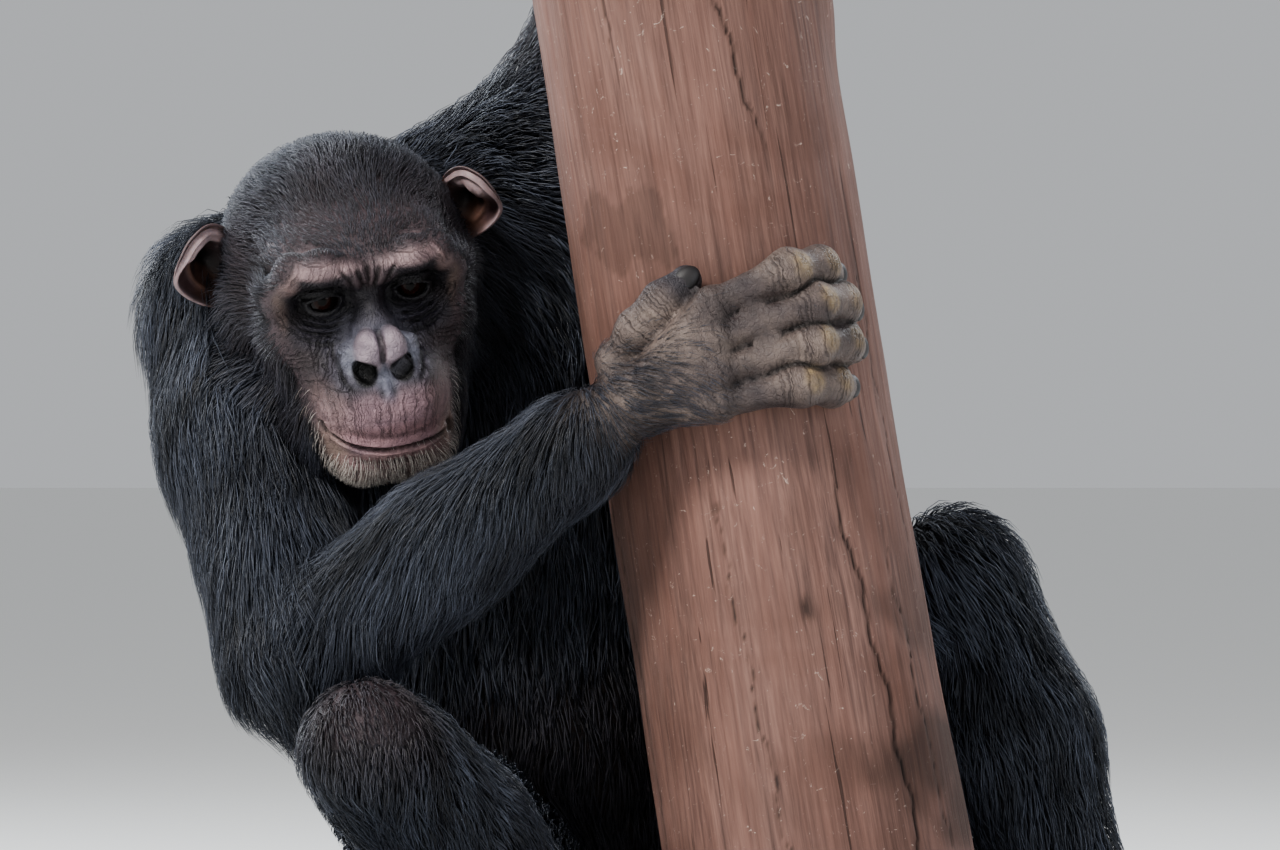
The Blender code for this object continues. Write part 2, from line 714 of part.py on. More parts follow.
def build_rod(number, trunk_cutter):
    """One short rod from the base up to the trunk's lower end."""
    foot = TRUNK_MID - TRUNK_UP * TRUNK_BELOW
    place = (foot[0] + (number - 0.5) * 2.0 * ROD_SPREAD, foot[1], 0.0)
    low = BASE_THICK + GAP
    high = foot[2] + 0.03
    shape = bmesh.new()
    middle = Matrix.Translation((place[0], place[1], 0.5 * (low + high)))
    bmesh.ops.create_cone(shape, cap_ends=True, segments=16, radius1=ROD_RADIUS, radius2=ROD_RADIUS,
                          depth=high - low, matrix=middle)
    name = f"stand_rod_{number + 1}"
    mesh = bpy.data.meshes.new(name)
    shape.to_mesh(mesh)
    shape.free()
    rod = bpy.data.objects.new(name, mesh)
    bpy.context.scene.collection.objects.link(rod)
    carve(rod, trunk_cutter)
    finish(rod, ROD)


def build_base():
    shape = bmesh.new()
    place = Matrix.Translation((0.0, 0.0, 0.5 * BASE_THICK))
    place = place @ Matrix.Diagonal((BASE_WIDTH, BASE_DEPTH, BASE_THICK, 1.0))
    bmesh.ops.create_cube(shape, size=1.0, matrix=place)
    upright = [edge for edge in shape.edges
               if abs(edge.verts[0].co.z - edge.verts[1].co.z) > 0.5 * BASE_THICK]
    bmesh.ops.bevel(shape, geom=upright, offset=BASE_CORNER, offset_type="OFFSET", segments=4,
                    profile=0.5, affect="EDGES", clamp_overlap=True, material=-1)
    top = [edge for edge in shape.edges if all(vertex.co.z > 0.9 * BASE_THICK for vertex in edge.verts)]
    bmesh.ops.bevel(shape, geom=top, offset=BASE_ROUND, offset_type="OFFSET", segments=2, profile=0.5,
                    affect="EDGES", clamp_overlap=True, material=-1)
    mesh = bpy.data.meshes.new("stand_base")
    shape.to_mesh(mesh)
    shape.free()
    base = bpy.data.objects.new("stand_base", mesh)
    bpy.context.scene.collection.objects.link(base)
    finish(base, STAND)


clear_scene()
parts = new_collection(OBJECT)
cutters = new_collection("cutters")
COAT = principled("black coat", COAT_COLOUR)
SKIN = principled("bare skin", SKIN_COLOUR)
HAND = principled("hand and foot skin", HAND_COLOUR)
EYE = principled("wet eye", EYE_COLOUR)
WOOD = principled("barkless trunk", WOOD_COLOUR)
STAND = principled("painted stand", STAND_COLOUR)
ROD = principled("steel rod", ROD_COLOUR, metallic=1.0)

build_base()
trunk = build_trunk()
torso = build_torso(trunk)
leg_right = build_leg("right", (HIP_RIGHT, KNEE_RIGHT, ANKLE_RIGHT), HEEL_RIGHT, BALL_RIGHT, 1,
                      (0.035, 0.042), [torso], trunk)
build_leg("left", (HIP_LEFT, KNEE_LEFT, ANKLE_LEFT), HEEL_LEFT, BALL_LEFT, -1,
          (0.042, 0.050), [torso], trunk)
wrist_right = tuple(on_trunk(*WRIST_GRIP_RIGHT))
wrist_left = tuple(on_trunk(*WRIST_GRIP_LEFT))
arm_right = build_arm("right", SHOULDER_RIGHT, ELBOW_RIGHT, wrist_right, GRIP_RIGHT,
                      [torso, leg_right], trunk, (0.048, 0.036, 0.032))
build_arm("left", SHOULDER_LEFT, ELBOW_LEFT, wrist_left, left_grip(), [torso], trunk,
          (0.052, 0.036, 0.032))
build_head(torso, arm_right)
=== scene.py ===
"""Looks of a life-size chimpanzee that sits on a display base with one hand round a leaning trunk.

One continuous skin stands for the body, with mesh tufts of coat over it. Eyes, ears, nails, the trunk
and the stand are pieces of their own. Metres, +Z up; the animal faces -Y, its right side is at -X.
"""
import math

import bmesh
import bpy
import numpy as np
from bpy.props import FloatProperty, FloatVectorProperty, IntProperty, PointerProperty, StringProperty
from mathutils import Matrix, Vector


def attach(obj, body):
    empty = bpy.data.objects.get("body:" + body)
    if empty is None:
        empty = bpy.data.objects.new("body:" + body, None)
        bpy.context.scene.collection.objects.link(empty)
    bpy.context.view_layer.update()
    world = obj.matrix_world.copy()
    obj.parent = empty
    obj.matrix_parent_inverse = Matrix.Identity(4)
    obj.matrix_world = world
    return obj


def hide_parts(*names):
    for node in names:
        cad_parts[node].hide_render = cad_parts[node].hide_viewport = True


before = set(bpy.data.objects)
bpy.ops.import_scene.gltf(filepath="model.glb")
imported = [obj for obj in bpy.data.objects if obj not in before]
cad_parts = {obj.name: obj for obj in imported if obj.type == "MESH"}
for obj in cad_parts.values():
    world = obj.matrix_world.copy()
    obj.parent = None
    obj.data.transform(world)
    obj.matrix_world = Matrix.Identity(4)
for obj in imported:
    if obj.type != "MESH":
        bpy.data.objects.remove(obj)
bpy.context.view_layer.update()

bl_info = {
    "name": "Chimpanzee on a trunk",
    "version": (1, 0, 0),
    "blender": (4, 5, 0),
    "location": "3D View > Sidebar > Chimpanzee",
    "description": "Builds the skin, coat, eyes, ears, nails, trunk and stage of the model",
    "category": "Object",
}

MM = 0.001
DOWN = np.array((0.0, 0.0, -1.0))

# Trunk: its axis passes through TRUNK_MID and leans by this much sideways for each metre of height
TRUNK_MID = np.array((0.0645, -0.090, 0.420))
TRUNK_LEAN = -0.1635
TRUNK_BELOW = 0.330
TRUNK_ABOVE = 0.585
TRUNK_RADIUS_TOP = 0.0860
TRUNK_RADIUS_MID = 0.0872
TRUNK_RADIUS_FOOT = 0.0950
TRUNK_UP = np.array((TRUNK_LEAN, 0.0, 1.0)) / math.hypot(TRUNK_LEAN, 1.0)
TRUNK_SIDE = np.array((TRUNK_UP[2], 0.0, -TRUNK_UP[0]))
TRUNK_FRONT = np.array((0.0, -1.0, 0.0))

# Skeleton
NECK_LOW = (-0.135, 0.070, 0.500)
NECK_HIGH = (-0.176, 0.005, 0.530)
SHOULDER_RIGHT = (-0.248, 0.035, 0.492)
ELBOW_RIGHT = (-0.206, -0.105, 0.280)
SHOULDER_LEFT = (-0.031, 0.100, 0.590)
ELBOW_LEFT = (0.062, 0.180, 0.815)
HIP_RIGHT = (-0.072, 0.065, 0.105)
KNEE_RIGHT = (-0.160, -0.180, 0.232)
ANKLE_RIGHT = (-0.034, -0.015, 0.085)
HIP_LEFT = (0.045, 0.120, 0.105)
KNEE_LEFT = (0.193, 0.060, 0.320)
ANKLE_LEFT = (0.277, 0.018, 0.088)
HEEL_RIGHT = (-0.034, 0.020, 0.048)
BALL_RIGHT = (-0.052, -0.135, 0.040)
HEEL_LEFT = (0.272, 0.058, 0.048)
BALL_LEFT = (0.303, -0.095, 0.040)
SOLE = 0.0210
FINGERS = ("index", "middle", "ring", "little")
FINGER_RADIUS = 0.0103
THUMB_RADIUS = 0.0102
GRIP_RIGHT = {
    "index": ((0.0729, -5.5, 0.112), (0.0857, 17.3, 0.122), (0.0850, 29.5, 0.1105), (0.0800, 38.5, 0.0985)),
    "middle": ((0.0536, -5.1, 0.113), (0.0640, 23.4, 0.123), (0.0622, 34.9, 0.1110), (0.0580, 44.0, 0.0985)),
    "ring": ((0.0345, -5.9, 0.112), (0.0410, 21.6, 0.122), (0.0388, 33.6, 0.1105), (0.0352, 43.0, 0.0985)),
    "little": ((0.0160, -8.5, 0.109), (0.0185, 15.9, 0.118), (0.0155, 27.8, 0.1080), (0.0132, 36.0, 0.0985)),
    "thumb": ((0.0500, -39.4, 0.114), (0.0655, -30.4, 0.111), (0.0790, -21.6, 0.107), (0.0895, -13.4, 0.1005)),
}
WRIST_GRIP_RIGHT = (0.0240, -34.0, 0.118)
WRIST_GRIP_LEFT = (0.440, 100.0, 0.126)
LEFT_GRIP_HEIGHT = 0.445
TOE_RADIUS = 0.0080
BIG_TOE_RADIUS = 0.0120
TOE_LENGTH = 0.052
TOE_SPACING = 0.0195
BIG_TOE_LENGTH = 0.062

# Head: its own frame has x to the animal's left, y backward, z up, and zero midway between the ears
HEAD_PLACE = np.array((-0.182, -0.035, 0.533))
HEAD_TURN = np.array(
    Matrix.Rotation(math.radians(-6.0), 3, "Y") @ Matrix.Rotation(math.radians(24.0), 3, "X")
    @ Matrix.Rotation(math.radians(10.0), 3, "Z")
)
EYE_CENTRE = np.array((0.0268, -0.0858, 0.0))
EYE_RADIUS = 0.0105


# Vector helpers

def length_of(vectors):
    return np.sqrt((vectors * vectors).sum(axis=1))


def unit(vectors):
    return vectors / np.maximum(length_of(vectors), 1e-9)[:, None]


def smooth_step(value, low, high):
    share = np.clip((value - low) / (high - low), 0.0, 1.0)
    return share * share * (3.0 - 2.0 * share)


def along(start, end, share, drop=0.0):
    """The point at a share of the way between two others, lowered by a drop."""
    return np.array(start) + (np.array(end) - np.array(start)) * share + DOWN * drop


def on_trunk(rise, degrees, radius):
    """A point at a place along the trunk, an angle from its front and a distance from its axis."""
    angle = math.radians(degrees)
    outward = TRUNK_FRONT * math.cos(angle) + TRUNK_SIDE * math.sin(angle)
    return TRUNK_MID + TRUNK_UP * rise + outward * radius


def on_head(x, y, z):
    """A point of the head's own frame, given in millimetres."""
    return HEAD_PLACE + HEAD_TURN @ (np.array((x, y, z)) * MM)


def head_local(points):
    return (points - HEAD_PLACE) @ HEAD_TURN


def trunk_radius(rise):
    up = TRUNK_RADIUS_MID + (TRUNK_RADIUS_TOP - TRUNK_RADIUS_MID) * np.clip(rise / TRUNK_ABOVE, 0.0, 1.0)
    below = (TRUNK_RADIUS_FOOT - TRUNK_RADIUS_MID) * np.clip(-rise / TRUNK_BELOW, 0.0, 1.0)
    return up + below


# Forms of the body: each knows how far points lie outside it, and which way is out

class Bone:
    """A round stretch of flesh between two joints, blended into what came before it."""

    carve = False

    def __init__(self, region, start, end, radius, end_radius=None, blend=0.02, lie=None):
        self.region = region
        self.start = np.array(start, float)
        self.end = np.array(end, float)
        self.axis = self.end - self.start
        self.radius = radius
        self.end_radius = radius if end_radius is None else end_radius
        self.blend = blend
        self.middle = 0.5 * (self.start + self.end)
        self.reach = 0.5 * np.linalg.norm(self.axis) + max(self.radius, self.end_radius)
        self.lie = self.axis / np.linalg.norm(self.axis) if lie is None else np.array(lie, float)

    def measure(self, points):
        share = np.clip((points - self.start) @ self.axis / (self.axis @ self.axis), 0.0, 1.0)
        offset = points - self.start - share[:, None] * self.axis
        size = np.maximum(length_of(offset), 1e-9)
        return size - (self.radius + (self.end_radius - self.radius) * share), offset / size[:, None]

    def balls(self):
        steps = max(2, math.ceil(np.linalg.norm(self.axis) / (0.5 * min(self.radius, self.end_radius))))
        for step in range(steps + 1):
            radius = self.radius + (self.end_radius - self.radius) * step / steps
            yield self.start + self.axis * step / steps, np.full(3, radius), np.eye(3)


class Mass:
    """A rounded mass with three half sizes, added to the body or carved out of it."""

    def __init__(self, region, centre, sizes, turn=None, blend=0.02, lie=(0.0, 0.0, -1.0), carve=False):
        self.region = region
        self.middle = np.array(centre, float)
        self.sizes = np.array(sizes, float)
        self.turn = np.eye(3) if turn is None else turn
        self.blend = blend
        self.carve = carve
        self.reach = self.sizes.max()
        self.lie = np.array(lie, float)
        self.axis = self.turn[:, 2]
        self.start = self.middle - self.axis * self.sizes[2]

    def measure(self, points):
        local = (points - self.middle) @ self.turn
        near = length_of(local / self.sizes)
        slope = local / self.sizes ** 2
        size = np.maximum(length_of(slope), 1e-9)
        return near * (near - 1.0) / size, (slope / size[:, None]) @ self.turn.T

    def balls(self):
        yield self.middle, self.sizes, self.turn


class Digit:
    """A finger, thumb or toe: its lengths blend with each other more than with what is beside them."""

    carve = False

    def __init__(self, region, joints, radii, inner, blend):
        self.region = region
        self.inner = inner
        self.blend = blend
        self.bones = [Bone(region, joints[number], joints[number + 1], radii[number], radii[number + 1])
                      for number in range(len(joints) - 1)]
        self.start = np.array(joints[0])
        self.axis = np.array(joints[-1]) - self.start
        self.middle = self.start + 0.5 * self.axis
        self.reach = max(np.linalg.norm(np.array(joint) - self.middle) for joint in joints) + max(radii)
        self.lie = self.axis / np.linalg.norm(self.axis)

    def measure(self, points):
        total, slope = self.bones[0].measure(points)
        for bone in self.bones[1:]:
            other, other_slope = bone.measure(points)
            mix = np.clip(0.5 + 0.5 * (other - total) / self.inner, 0.0, 1.0)
            total = other * (1.0 - mix) + total * mix - self.inner * mix * (1.0 - mix)
            slope = other_slope * (1.0 - mix)[:, None] + slope * mix[:, None]
        return total, slope

    def balls(self):
        for bone in self.bones:
            yield from bone.balls()


REACH_MARGIN = 0.075


def measure(points, form):
    """Distance outside the blended body and the outward slope of that distance."""
    total = np.ones(len(points))
    slope = np.zeros_like(points)
    for item in form:
        index = np.nonzero(length_of(points - item.middle) < item.reach + REACH_MARGIN)[0]
        if len(index) == 0:
            continue
        other, other_slope = item.measure(points[index])
        here = total[index]
        sign = -1.0 if item.carve else 1.0
        mix = np.clip(0.5 + 0.5 * (other - sign * here) / item.blend, 0.0, 1.0)
        total[index] = (sign * other * (1.0 - mix) + here * mix
                        - sign * item.blend * mix * (1.0 - mix))
        slope[index] = sign * other_slope * (1.0 - mix)[:, None] + slope[index] * mix[:, None]
    return total, slope


def settle(points, form, rounds, level=0.0):
    """Move points onto the body's surface, or to a level above it."""
    for _ in range(rounds):
        gap, slope = measure(points, form)
        size = np.maximum((slope * slope).sum(axis=1), 0.3)
        points = points - slope * ((gap - level) / size)[:, None]
    return points


# The body's parts

def head_mass(region, centre, sizes, blend=0.012, carve=False, tilt=0.0):
    turn = HEAD_TURN @ np.array(Matrix.Rotation(math.radians(tilt), 3, "Y"))
    return Mass(region, on_head(*centre), np.array(sizes) * MM, turn, blend, carve=carve)


def head_bone(region, start, end, radius, end_radius=None, blend=0.010):
    end_size = radius if end_radius is None else end_radius
    return Bone(region, on_head(*start), on_head(*end), radius * MM, end_size * MM, blend)


def head_form():
    """Skull, brow, cheeks, muzzle and jaw, then the hollows of the eyes and nostrils."""
    form = [
        head_mass("crown", (0, -2, 1), (66, 74, 56), 0.020),
        head_mass("crown", (0, -60, 20), (54, 38, 22), 0.020),
        head_mass("face", (0, -50, -22), (51, 44, 45)),
        head_mass("face", (0, -84, -68), (43.5, 47, 39), 0.014),
        head_bone("face", (-15, -109.5, -57), (15, -109.5, -57), 21, blend=0.012),
        head_bone("chin", (-15, -102, -95), (19, -102, -96), 20.5, blend=0.012),
        head_bone("face", (-7, -94.5, 15), (7, -94.5, 15), 8.0, blend=0.008),
        head_bone("face", (0, -90, 5), (0, -102, -13), 7.0, 9.0, blend=0.008),
        head_bone("face", (0, -100, -22), (0, -104, -32), 12.5, 13.5, blend=0.010),
    ]
    for side in (-1, 1):
        form += [
            head_bone("face", (side * 10, -98, 18), (side * 27, -98.5, 23.5), 8.8, 10.6, blend=0.005),
            head_bone("face", (side * 27, -98.5, 23.5), (side * 43, -90, 20), 10.6, 10.2, blend=0.005),
            head_bone("face", (side * 43, -88, 20), (side * 52, -77, 2), 10.0, 9.4, blend=0.006),
            head_bone("face", (side * 52, -77, 2), (side * 49, -72, -20), 9.4, 11, blend=0.010),
            head_bone("face", (side * 44, -72, -34), (side * 64, -15, -22), 15, 11, blend=0.016),
            head_bone("cheek", (side * 27, -84, -86), (side * 51, -12, -58), 18, 17, blend=0.016),
            head_bone("face", (side * 30, -84, -46), (side * 34, -80, -66), 14, 14, blend=0.014),
            head_mass("face", (side * 27, -108, -1.5), (21, 16, 14.5), 0.005, carve=True),
            head_mass("face", (side * 26.8, -85.8, 0), (12.9, 12.5, 12.4), 0.0035),
            head_mass("face", (side * 16.5, -107.5, -31), (9.0, 9.6, 8.8), 0.006, tilt=side * 30),
            head_mass("face", (side * 7.6, -115.5, -25.5), (8.6, 12.0, 12.8), 0.0020, tilt=side * -8),
            head_mass("face", (side * 11.2, -122, -36.5), (5.6, 13, 7.8), 0.0016, carve=True, tilt=side * 40),
            head_mass("face", (side * 26.6, -98, -0.6), (12.4, 9.4, 4.8), 0.0012, carve=True, tilt=side * 4),
        ]
    form.append(head_mass("face", (0, -115, -34), (4.2, 8.5, 6.0), 0.003))
    return form


def left_grip():
    grip = {}
    for row, finger in enumerate(FINGERS):
        rise = LEFT_GRIP_HEIGHT + 0.034 - 0.0205 * row
        grip[finger] = ((rise, 64.0, 0.112), (rise + 0.004, 34.0, 0.120),
                        (rise, 16.0, 0.111), (rise - 0.003, 4.0, 0.0995))
    thumb = LEFT_GRIP_HEIGHT + 0.058
    grip["thumb"] = ((thumb - 0.016, 84.0, 0.114), (thumb, 70.0, 0.110),
                     (thumb + 0.012, 58.0, 0.105), (thumb + 0.020, 48.0, 0.0990))
    return grip


def digit_chain(grip, digit):
    """The joints of a finger or thumb, with its radius at each."""
    radius = THUMB_RADIUS if digit == "thumb" else FINGER_RADIUS
    joints = [on_trunk(*place) for place in grip[digit]]
    return joints, (radius * 0.84, radius * 1.0, radius * 0.98, radius * 0.92)


def hand_form(wrist, grip):
    form = []
    for finger in (*FINGERS, "thumb"):
        form.append(Bone("hand", wrist, on_trunk(*grip[finger][0]), 0.0145, 0.0120, 0.008))
    for digit in (*FINGERS, "thumb"):
        joints, radii = digit_chain(grip, digit)
        form.append(Digit("digit", joints, radii, 0.012, 0.0022))
    return form


def arm_form(side, shoulder, elbow, wrist, flesh):
    biceps = along(shoulder, elbow, 0.35)
    muscle = along(elbow, wrist, 0.45)
    cuff = along(elbow, wrist, 0.85)
    return [
        Bone("upper_arm_" + side, shoulder, biceps, flesh[0], flesh[0] + 0.004, 0.035),
        Bone("upper_arm_" + side, biceps, elbow, flesh[0] + 0.004, flesh[1], 0.02),
        Bone("forearm_" + side, elbow, muscle, flesh[1], flesh[2], 0.015),
        Bone("forearm_" + side, muscle, cuff, flesh[2], 0.026, 0.015),
        Bone("wrist_" + side, cuff, wrist, 0.026, 0.018, 0.015),
    ]


def toe_chains(ball, inward):
    """The joints and radii of the four toes and the big toe, which points inward."""
    chains = []
    for number in range(4):
        spread = (number - 1.5) * TOE_SPACING
        root = np.array((ball[0] + spread, ball[1] + abs(spread) * 0.2, SOLE + TOE_RADIUS + 0.005))
        heading = np.array((spread * 0.35 - inward * 0.004, -TOE_LENGTH, 0.0))
        middle = root + heading * 0.5 + np.array((0.0, 0.0, 0.006))
        tip = root + heading - np.array((0.0, 0.0, 0.003))
        chains.append(((root, middle, tip), (TOE_RADIUS, TOE_RADIUS, 0.0072)))
    root = np.array((ball[0] + inward * 0.030, ball[1] + 0.055, SOLE + BIG_TOE_RADIUS + 0.001))
    tip = root + np.array((inward * 0.6, -0.8, 0.0)) * BIG_TOE_LENGTH
    chains.append(((root, 0.5 * (root + tip) + np.array((0.0, 0.0, 0.002)), tip), (0.0120, 0.0118, 0.0108)))
    return chains


def leg_form(side, joints, heel, ball, inward, bulk):
    hip, knee, ankle = joints
    thigh_middle = along(hip, knee, 0.5)
    calf = along(knee, ankle, 0.4)
    across = np.array((0.017, 0.0, 0.0))
    big_toe_root = np.array((ball[0] + inward * 0.030, ball[1] + 0.055, ball[2]))
    form = [
        Bone("thigh_" + side, hip, thigh_middle, 0.064, 0.049, 0.03),
        Bone("thigh_" + side, thigh_middle, knee, 0.049, bulk[0], 0.018),
        Bone("shin_" + side, knee, calf, bulk[0], bulk[1], 0.014),
        Bone("shin_" + side, calf, ankle, bulk[1], 0.024, 0.014),
        Bone("foot", ankle, heel, 0.029, 0.0255, 0.015),
        Bone("foot", ankle, along(ankle, ball, 0.45), 0.027, 0.0215, 0.015),
        Bone("foot", heel, np.array(ball) - across, 0.0235, 0.0155, 0.012),
        Bone("foot", heel, np.array(ball) + across, 0.0235, 0.0155, 0.012),
        Bone("foot", heel, big_toe_root, 0.0235, 0.0165, 0.012),
    ]
    for points, radii in toe_chains(ball, inward):
        form.append(Digit("toe", points, radii, 0.006, 0.003))
    return form


WRIST_RIGHT = on_trunk(*WRIST_GRIP_RIGHT)
WRIST_LEFT = on_trunk(*WRIST_GRIP_LEFT)
GRIP_LEFT = left_grip()


def body_form():
    """All the flesh of the animal, without its coat."""
    form = [
        Mass("belly", (-0.022, 0.132, 0.112), (0.116, 0.096, 0.088), blend=0.03),
        Mass("belly", (-0.058, 0.125, 0.225), (0.120, 0.100, 0.113), blend=0.05),
        Mass("back", (-0.095, 0.112, 0.370), (0.126, 0.098, 0.123), blend=0.05),
        Mass("back", (-0.120, 0.098, 0.455), (0.124, 0.086, 0.103), blend=0.05),
        Bone("shoulder_left", (-0.132, 0.118, 0.528), (-0.045, 0.112, 0.580), 0.062, 0.064, 0.045),
        Bone("shoulder_right", (-0.190, 0.080, 0.485), SHOULDER_RIGHT, 0.052, 0.040, 0.04, DOWN),
        Bone("neck", NECK_HIGH, NECK_LOW, 0.052, 0.070, 0.03),
        Bone("neck", on_head(0, 12, -28), (-0.120, 0.100, 0.520), 0.046, 0.058, 0.03),
    ]
    form += arm_form("right", SHOULDER_RIGHT, ELBOW_RIGHT, WRIST_RIGHT, (0.046, 0.033, 0.032))
    form += arm_form("left", SHOULDER_LEFT, ELBOW_LEFT, WRIST_LEFT, (0.050, 0.034, 0.032))
    form += leg_form("right", (HIP_RIGHT, KNEE_RIGHT, ANKLE_RIGHT), HEEL_RIGHT, BALL_RIGHT, 1, (0.034, 0.041))
    form += leg_form("left", (HIP_LEFT, KNEE_LEFT, ANKLE_LEFT), HEEL_LEFT, BALL_LEFT, -1, (0.041, 0.049))
    form += hand_form(WRIST_RIGHT, GRIP_RIGHT)
    form += hand_form(WRIST_LEFT, GRIP_LEFT)
    form += head_form()
    return form


BODY = body_form()


# Meshes and materials

def collection():
    name = "Chimpanzee looks"
    found = bpy.data.collections.get(name)
    if found is None:
        found = bpy.data.collections.new(name)
        bpy.context.scene.collection.children.link(found)
    return found


def new_object(name, mesh):
    item = bpy.data.objects.new(name, mesh)
    collection().objects.link(item)
    return item


def mesh_from(shape, name, smooth=True):
    mesh = bpy.data.meshes.new(name)
    shape.to_mesh(mesh)
    shape.free()
    if smooth:
        mesh.shade_smooth()
    return mesh


def read_points(mesh):
    flat = np.empty(len(mesh.vertices) * 3, np.float32)
    mesh.vertices.foreach_get("co", flat)
    return flat.reshape(-1, 3).astype(float)


def write_points(mesh, points):
    mesh.vertices.foreach_set("co", points.astype(np.float32).ravel())
    mesh.update()


def read_normals(mesh):
    flat = np.empty(len(mesh.vertices) * 3, np.float32)
    mesh.vertices.foreach_get("normal", flat)
    return flat.reshape(-1, 3).astype(float)


def write_colour(mesh, name, colours):
    """Store linear RGB colours per vertex."""
    layer = mesh.color_attributes.new(name, "FLOAT_COLOR", "POINT")
    full = np.ones((len(colours), 4), np.float32)
    full[:, :3] = colours
    layer.data.foreach_set("color", full.ravel())


def applied(item):
    graph = bpy.context.evaluated_depsgraph_get()
    mesh = bpy.data.meshes.new_from_object(item.evaluated_get(graph))
    item.modifiers.clear()
    item.data = mesh
    return mesh


def linear(code):
    """A linear colour from an sRGB hex code."""
    values = []
    for place in (0, 2, 4):
        value = int(code[place:place + 2], 16) / 255.0
        values.append(value / 12.92 if value <= 0.04045 else ((value + 0.055) / 1.055) ** 2.4)
    return tuple(values)


def add(tree, kind, settings=None, links=None):
    """Add one node, set its properties and sockets, and link its inputs."""
    node = tree.nodes.new(kind)
    for key, value in (settings or {}).items():
        if isinstance(key, str) and hasattr(node, key):
            setattr(node, key, value)
        else:
            node.inputs[key].default_value = value
    for key, source in (links or {}).items():
        tree.links.new(source, node.inputs[key])
    return node


def new_material(name, settings):
    material = bpy.data.materials.new(name)
    material.use_nodes = True
    tree = material.node_tree
    tree.nodes.clear()
    shader = add(tree, "ShaderNodeBsdfPrincipled", settings)
    add(tree, "ShaderNodeOutputMaterial", links={"Surface": shader.outputs[0]})
    return material, tree, shader


def mixed(tree, share, first, second, blend="MIX"):
    """A colour mix; first, second and share are sockets or plain values."""
    node = add(tree, "ShaderNodeMix", {"data_type": "RGBA", "blend_type": blend})
    for socket, value in ((node.inputs[0], share), (node.inputs[6], first), (node.inputs[7], second)):
        if isinstance(value, bpy.types.NodeSocket):
            tree.links.new(value, socket)
        else:
            socket.default_value = (*value, 1.0) if isinstance(value, tuple) else value
    return node.outputs[2]


def noise(tree, coordinates, size, detail=4.0, distortion=0.0, roughness=0.55):
    """A noise whose features are about the given size in metres."""
    node = add(tree, "ShaderNodeTexNoise",
               {"Scale": 1.0 / size, "Detail": detail, "Distortion": distortion, "Roughness": roughness},
               {"Vector": coordinates})
    return node.outputs["Fac"]


def ramp(tree, value, low, high, bottom=0.0, top=1.0):
    node = add(tree, "ShaderNodeMapRange",
               {"From Min": low, "From Max": high, "To Min": bottom, "To Max": top}, {"Value": value})
    return node.outputs[0]


def bump(tree, height, depth, strength=1.0, under=None):
    links = {"Height": height}
    if under is not None:
        links["Normal"] = under
    return add(tree, "ShaderNodeBump", {"Strength": strength, "Distance": depth}, links).outputs[0]


# Skin

def tiled_mesh(name, points, faces):
    """One mesh from many copies of a template: points has a row for each copy."""
    count, size = points.shape[:2]
    loops = np.array([index for face in faces for index in face])
    totals = np.tile([len(face) for face in faces], count)
    every = (loops[None, :] + np.arange(count)[:, None] * size).ravel()
    mesh = bpy.data.meshes.new(name)
    mesh.vertices.add(count * size)
    mesh.vertices.foreach_set("co", points.astype(np.float32).ravel())
    mesh.loops.add(len(every))
    mesh.loops.foreach_set("vertex_index", every.astype(np.int32))
    mesh.polygons.add(len(totals))
    mesh.polygons.foreach_set("loop_start", (np.cumsum(totals) - totals).astype(np.int32))
    mesh.update(calc_edges=True)
    return mesh, loops


def template_of(shape):
    """The points and faces of a small bmesh, for tiling."""
    shape.verts.index_update()
    points = np.array([vertex.co[:] for vertex in shape.verts])
    faces = [[vertex.index for vertex in face.verts] for face in shape.faces]
    shape.free()
    return points, faces


def ball_cluster():
    """Overlapping balls along every bone, which the remesher turns into one closed skin."""
    shape = bmesh.new()
    bmesh.ops.create_uvsphere(shape, u_segments=14, v_segments=9, radius=1.0)
    ball, faces = template_of(shape)
    copies = []
    for item in BODY:
        if not item.carve:
            copies += [centre + (ball * sizes) @ turn.T for centre, sizes, turn in item.balls()]
    return tiled_mesh("skin", np.array(copies), faces)[0]


def near_joints(points, joints, reach):
    close = np.zeros(len(points), bool)
    for joint in joints:
        close |= length_of(points - np.array(joint)) < reach
    return close


def head_area(points):
    local = head_local(points)
    return (length_of(local - np.array((0.0, -0.05, -0.03))) < 0.115) & (local[:, 1] < 0.02)


def hands_and_feet_area(points):
    joints = [WRIST_RIGHT, WRIST_LEFT]
    for grip in (GRIP_RIGHT, GRIP_LEFT):
        joints += [on_trunk(*place) for digit in grip.values() for place in digit]
    close = near_joints(points, joints, 0.026)
    return close | (points[:, 2] < 0.075) & (points[:, 1] < 0.03) & (length_of(points[:, :2]) > 0.02)


def face_area(points):
    local = head_local(points)
    return (local[:, 1] < -0.055) & (np.abs(local[:, 0]) < 0.062) & (local[:, 2] < 0.045) & (local[:, 2] > -0.13)


def right_hand_area(points):
    joints = [on_trunk(*place) for digit in GRIP_RIGHT.values() for place in digit]
    middles = [along(WRIST_RIGHT, on_trunk(*digit[0]), 0.6) for digit in GRIP_RIGHT.values()]
    return near_joints(points, joints + middles, 0.024)


def face_core_area(points):
    local = head_local(points)
    return (local[:, 1] < -0.083) & (np.abs(local[:, 0]) < 0.050) & (local[:, 2] < 0.038) & (local[:, 2] > -0.098)


def refine(mesh, area):
    """Split the faces of an area once, and put the new points on the body's surface."""
    inside = area(read_points(mesh))
    shape = bmesh.new()
    shape.from_mesh(mesh)
    edges = [edge for edge in shape.edges if inside[edge.verts[0].index] and inside[edge.verts[1].index]]
    bmesh.ops.subdivide_edges(shape, edges=edges, cuts=1, use_grid_fill=True)
    shape.to_mesh(mesh)
    shape.free()
    write_points(mesh, settle(read_points(mesh), BODY, 2))


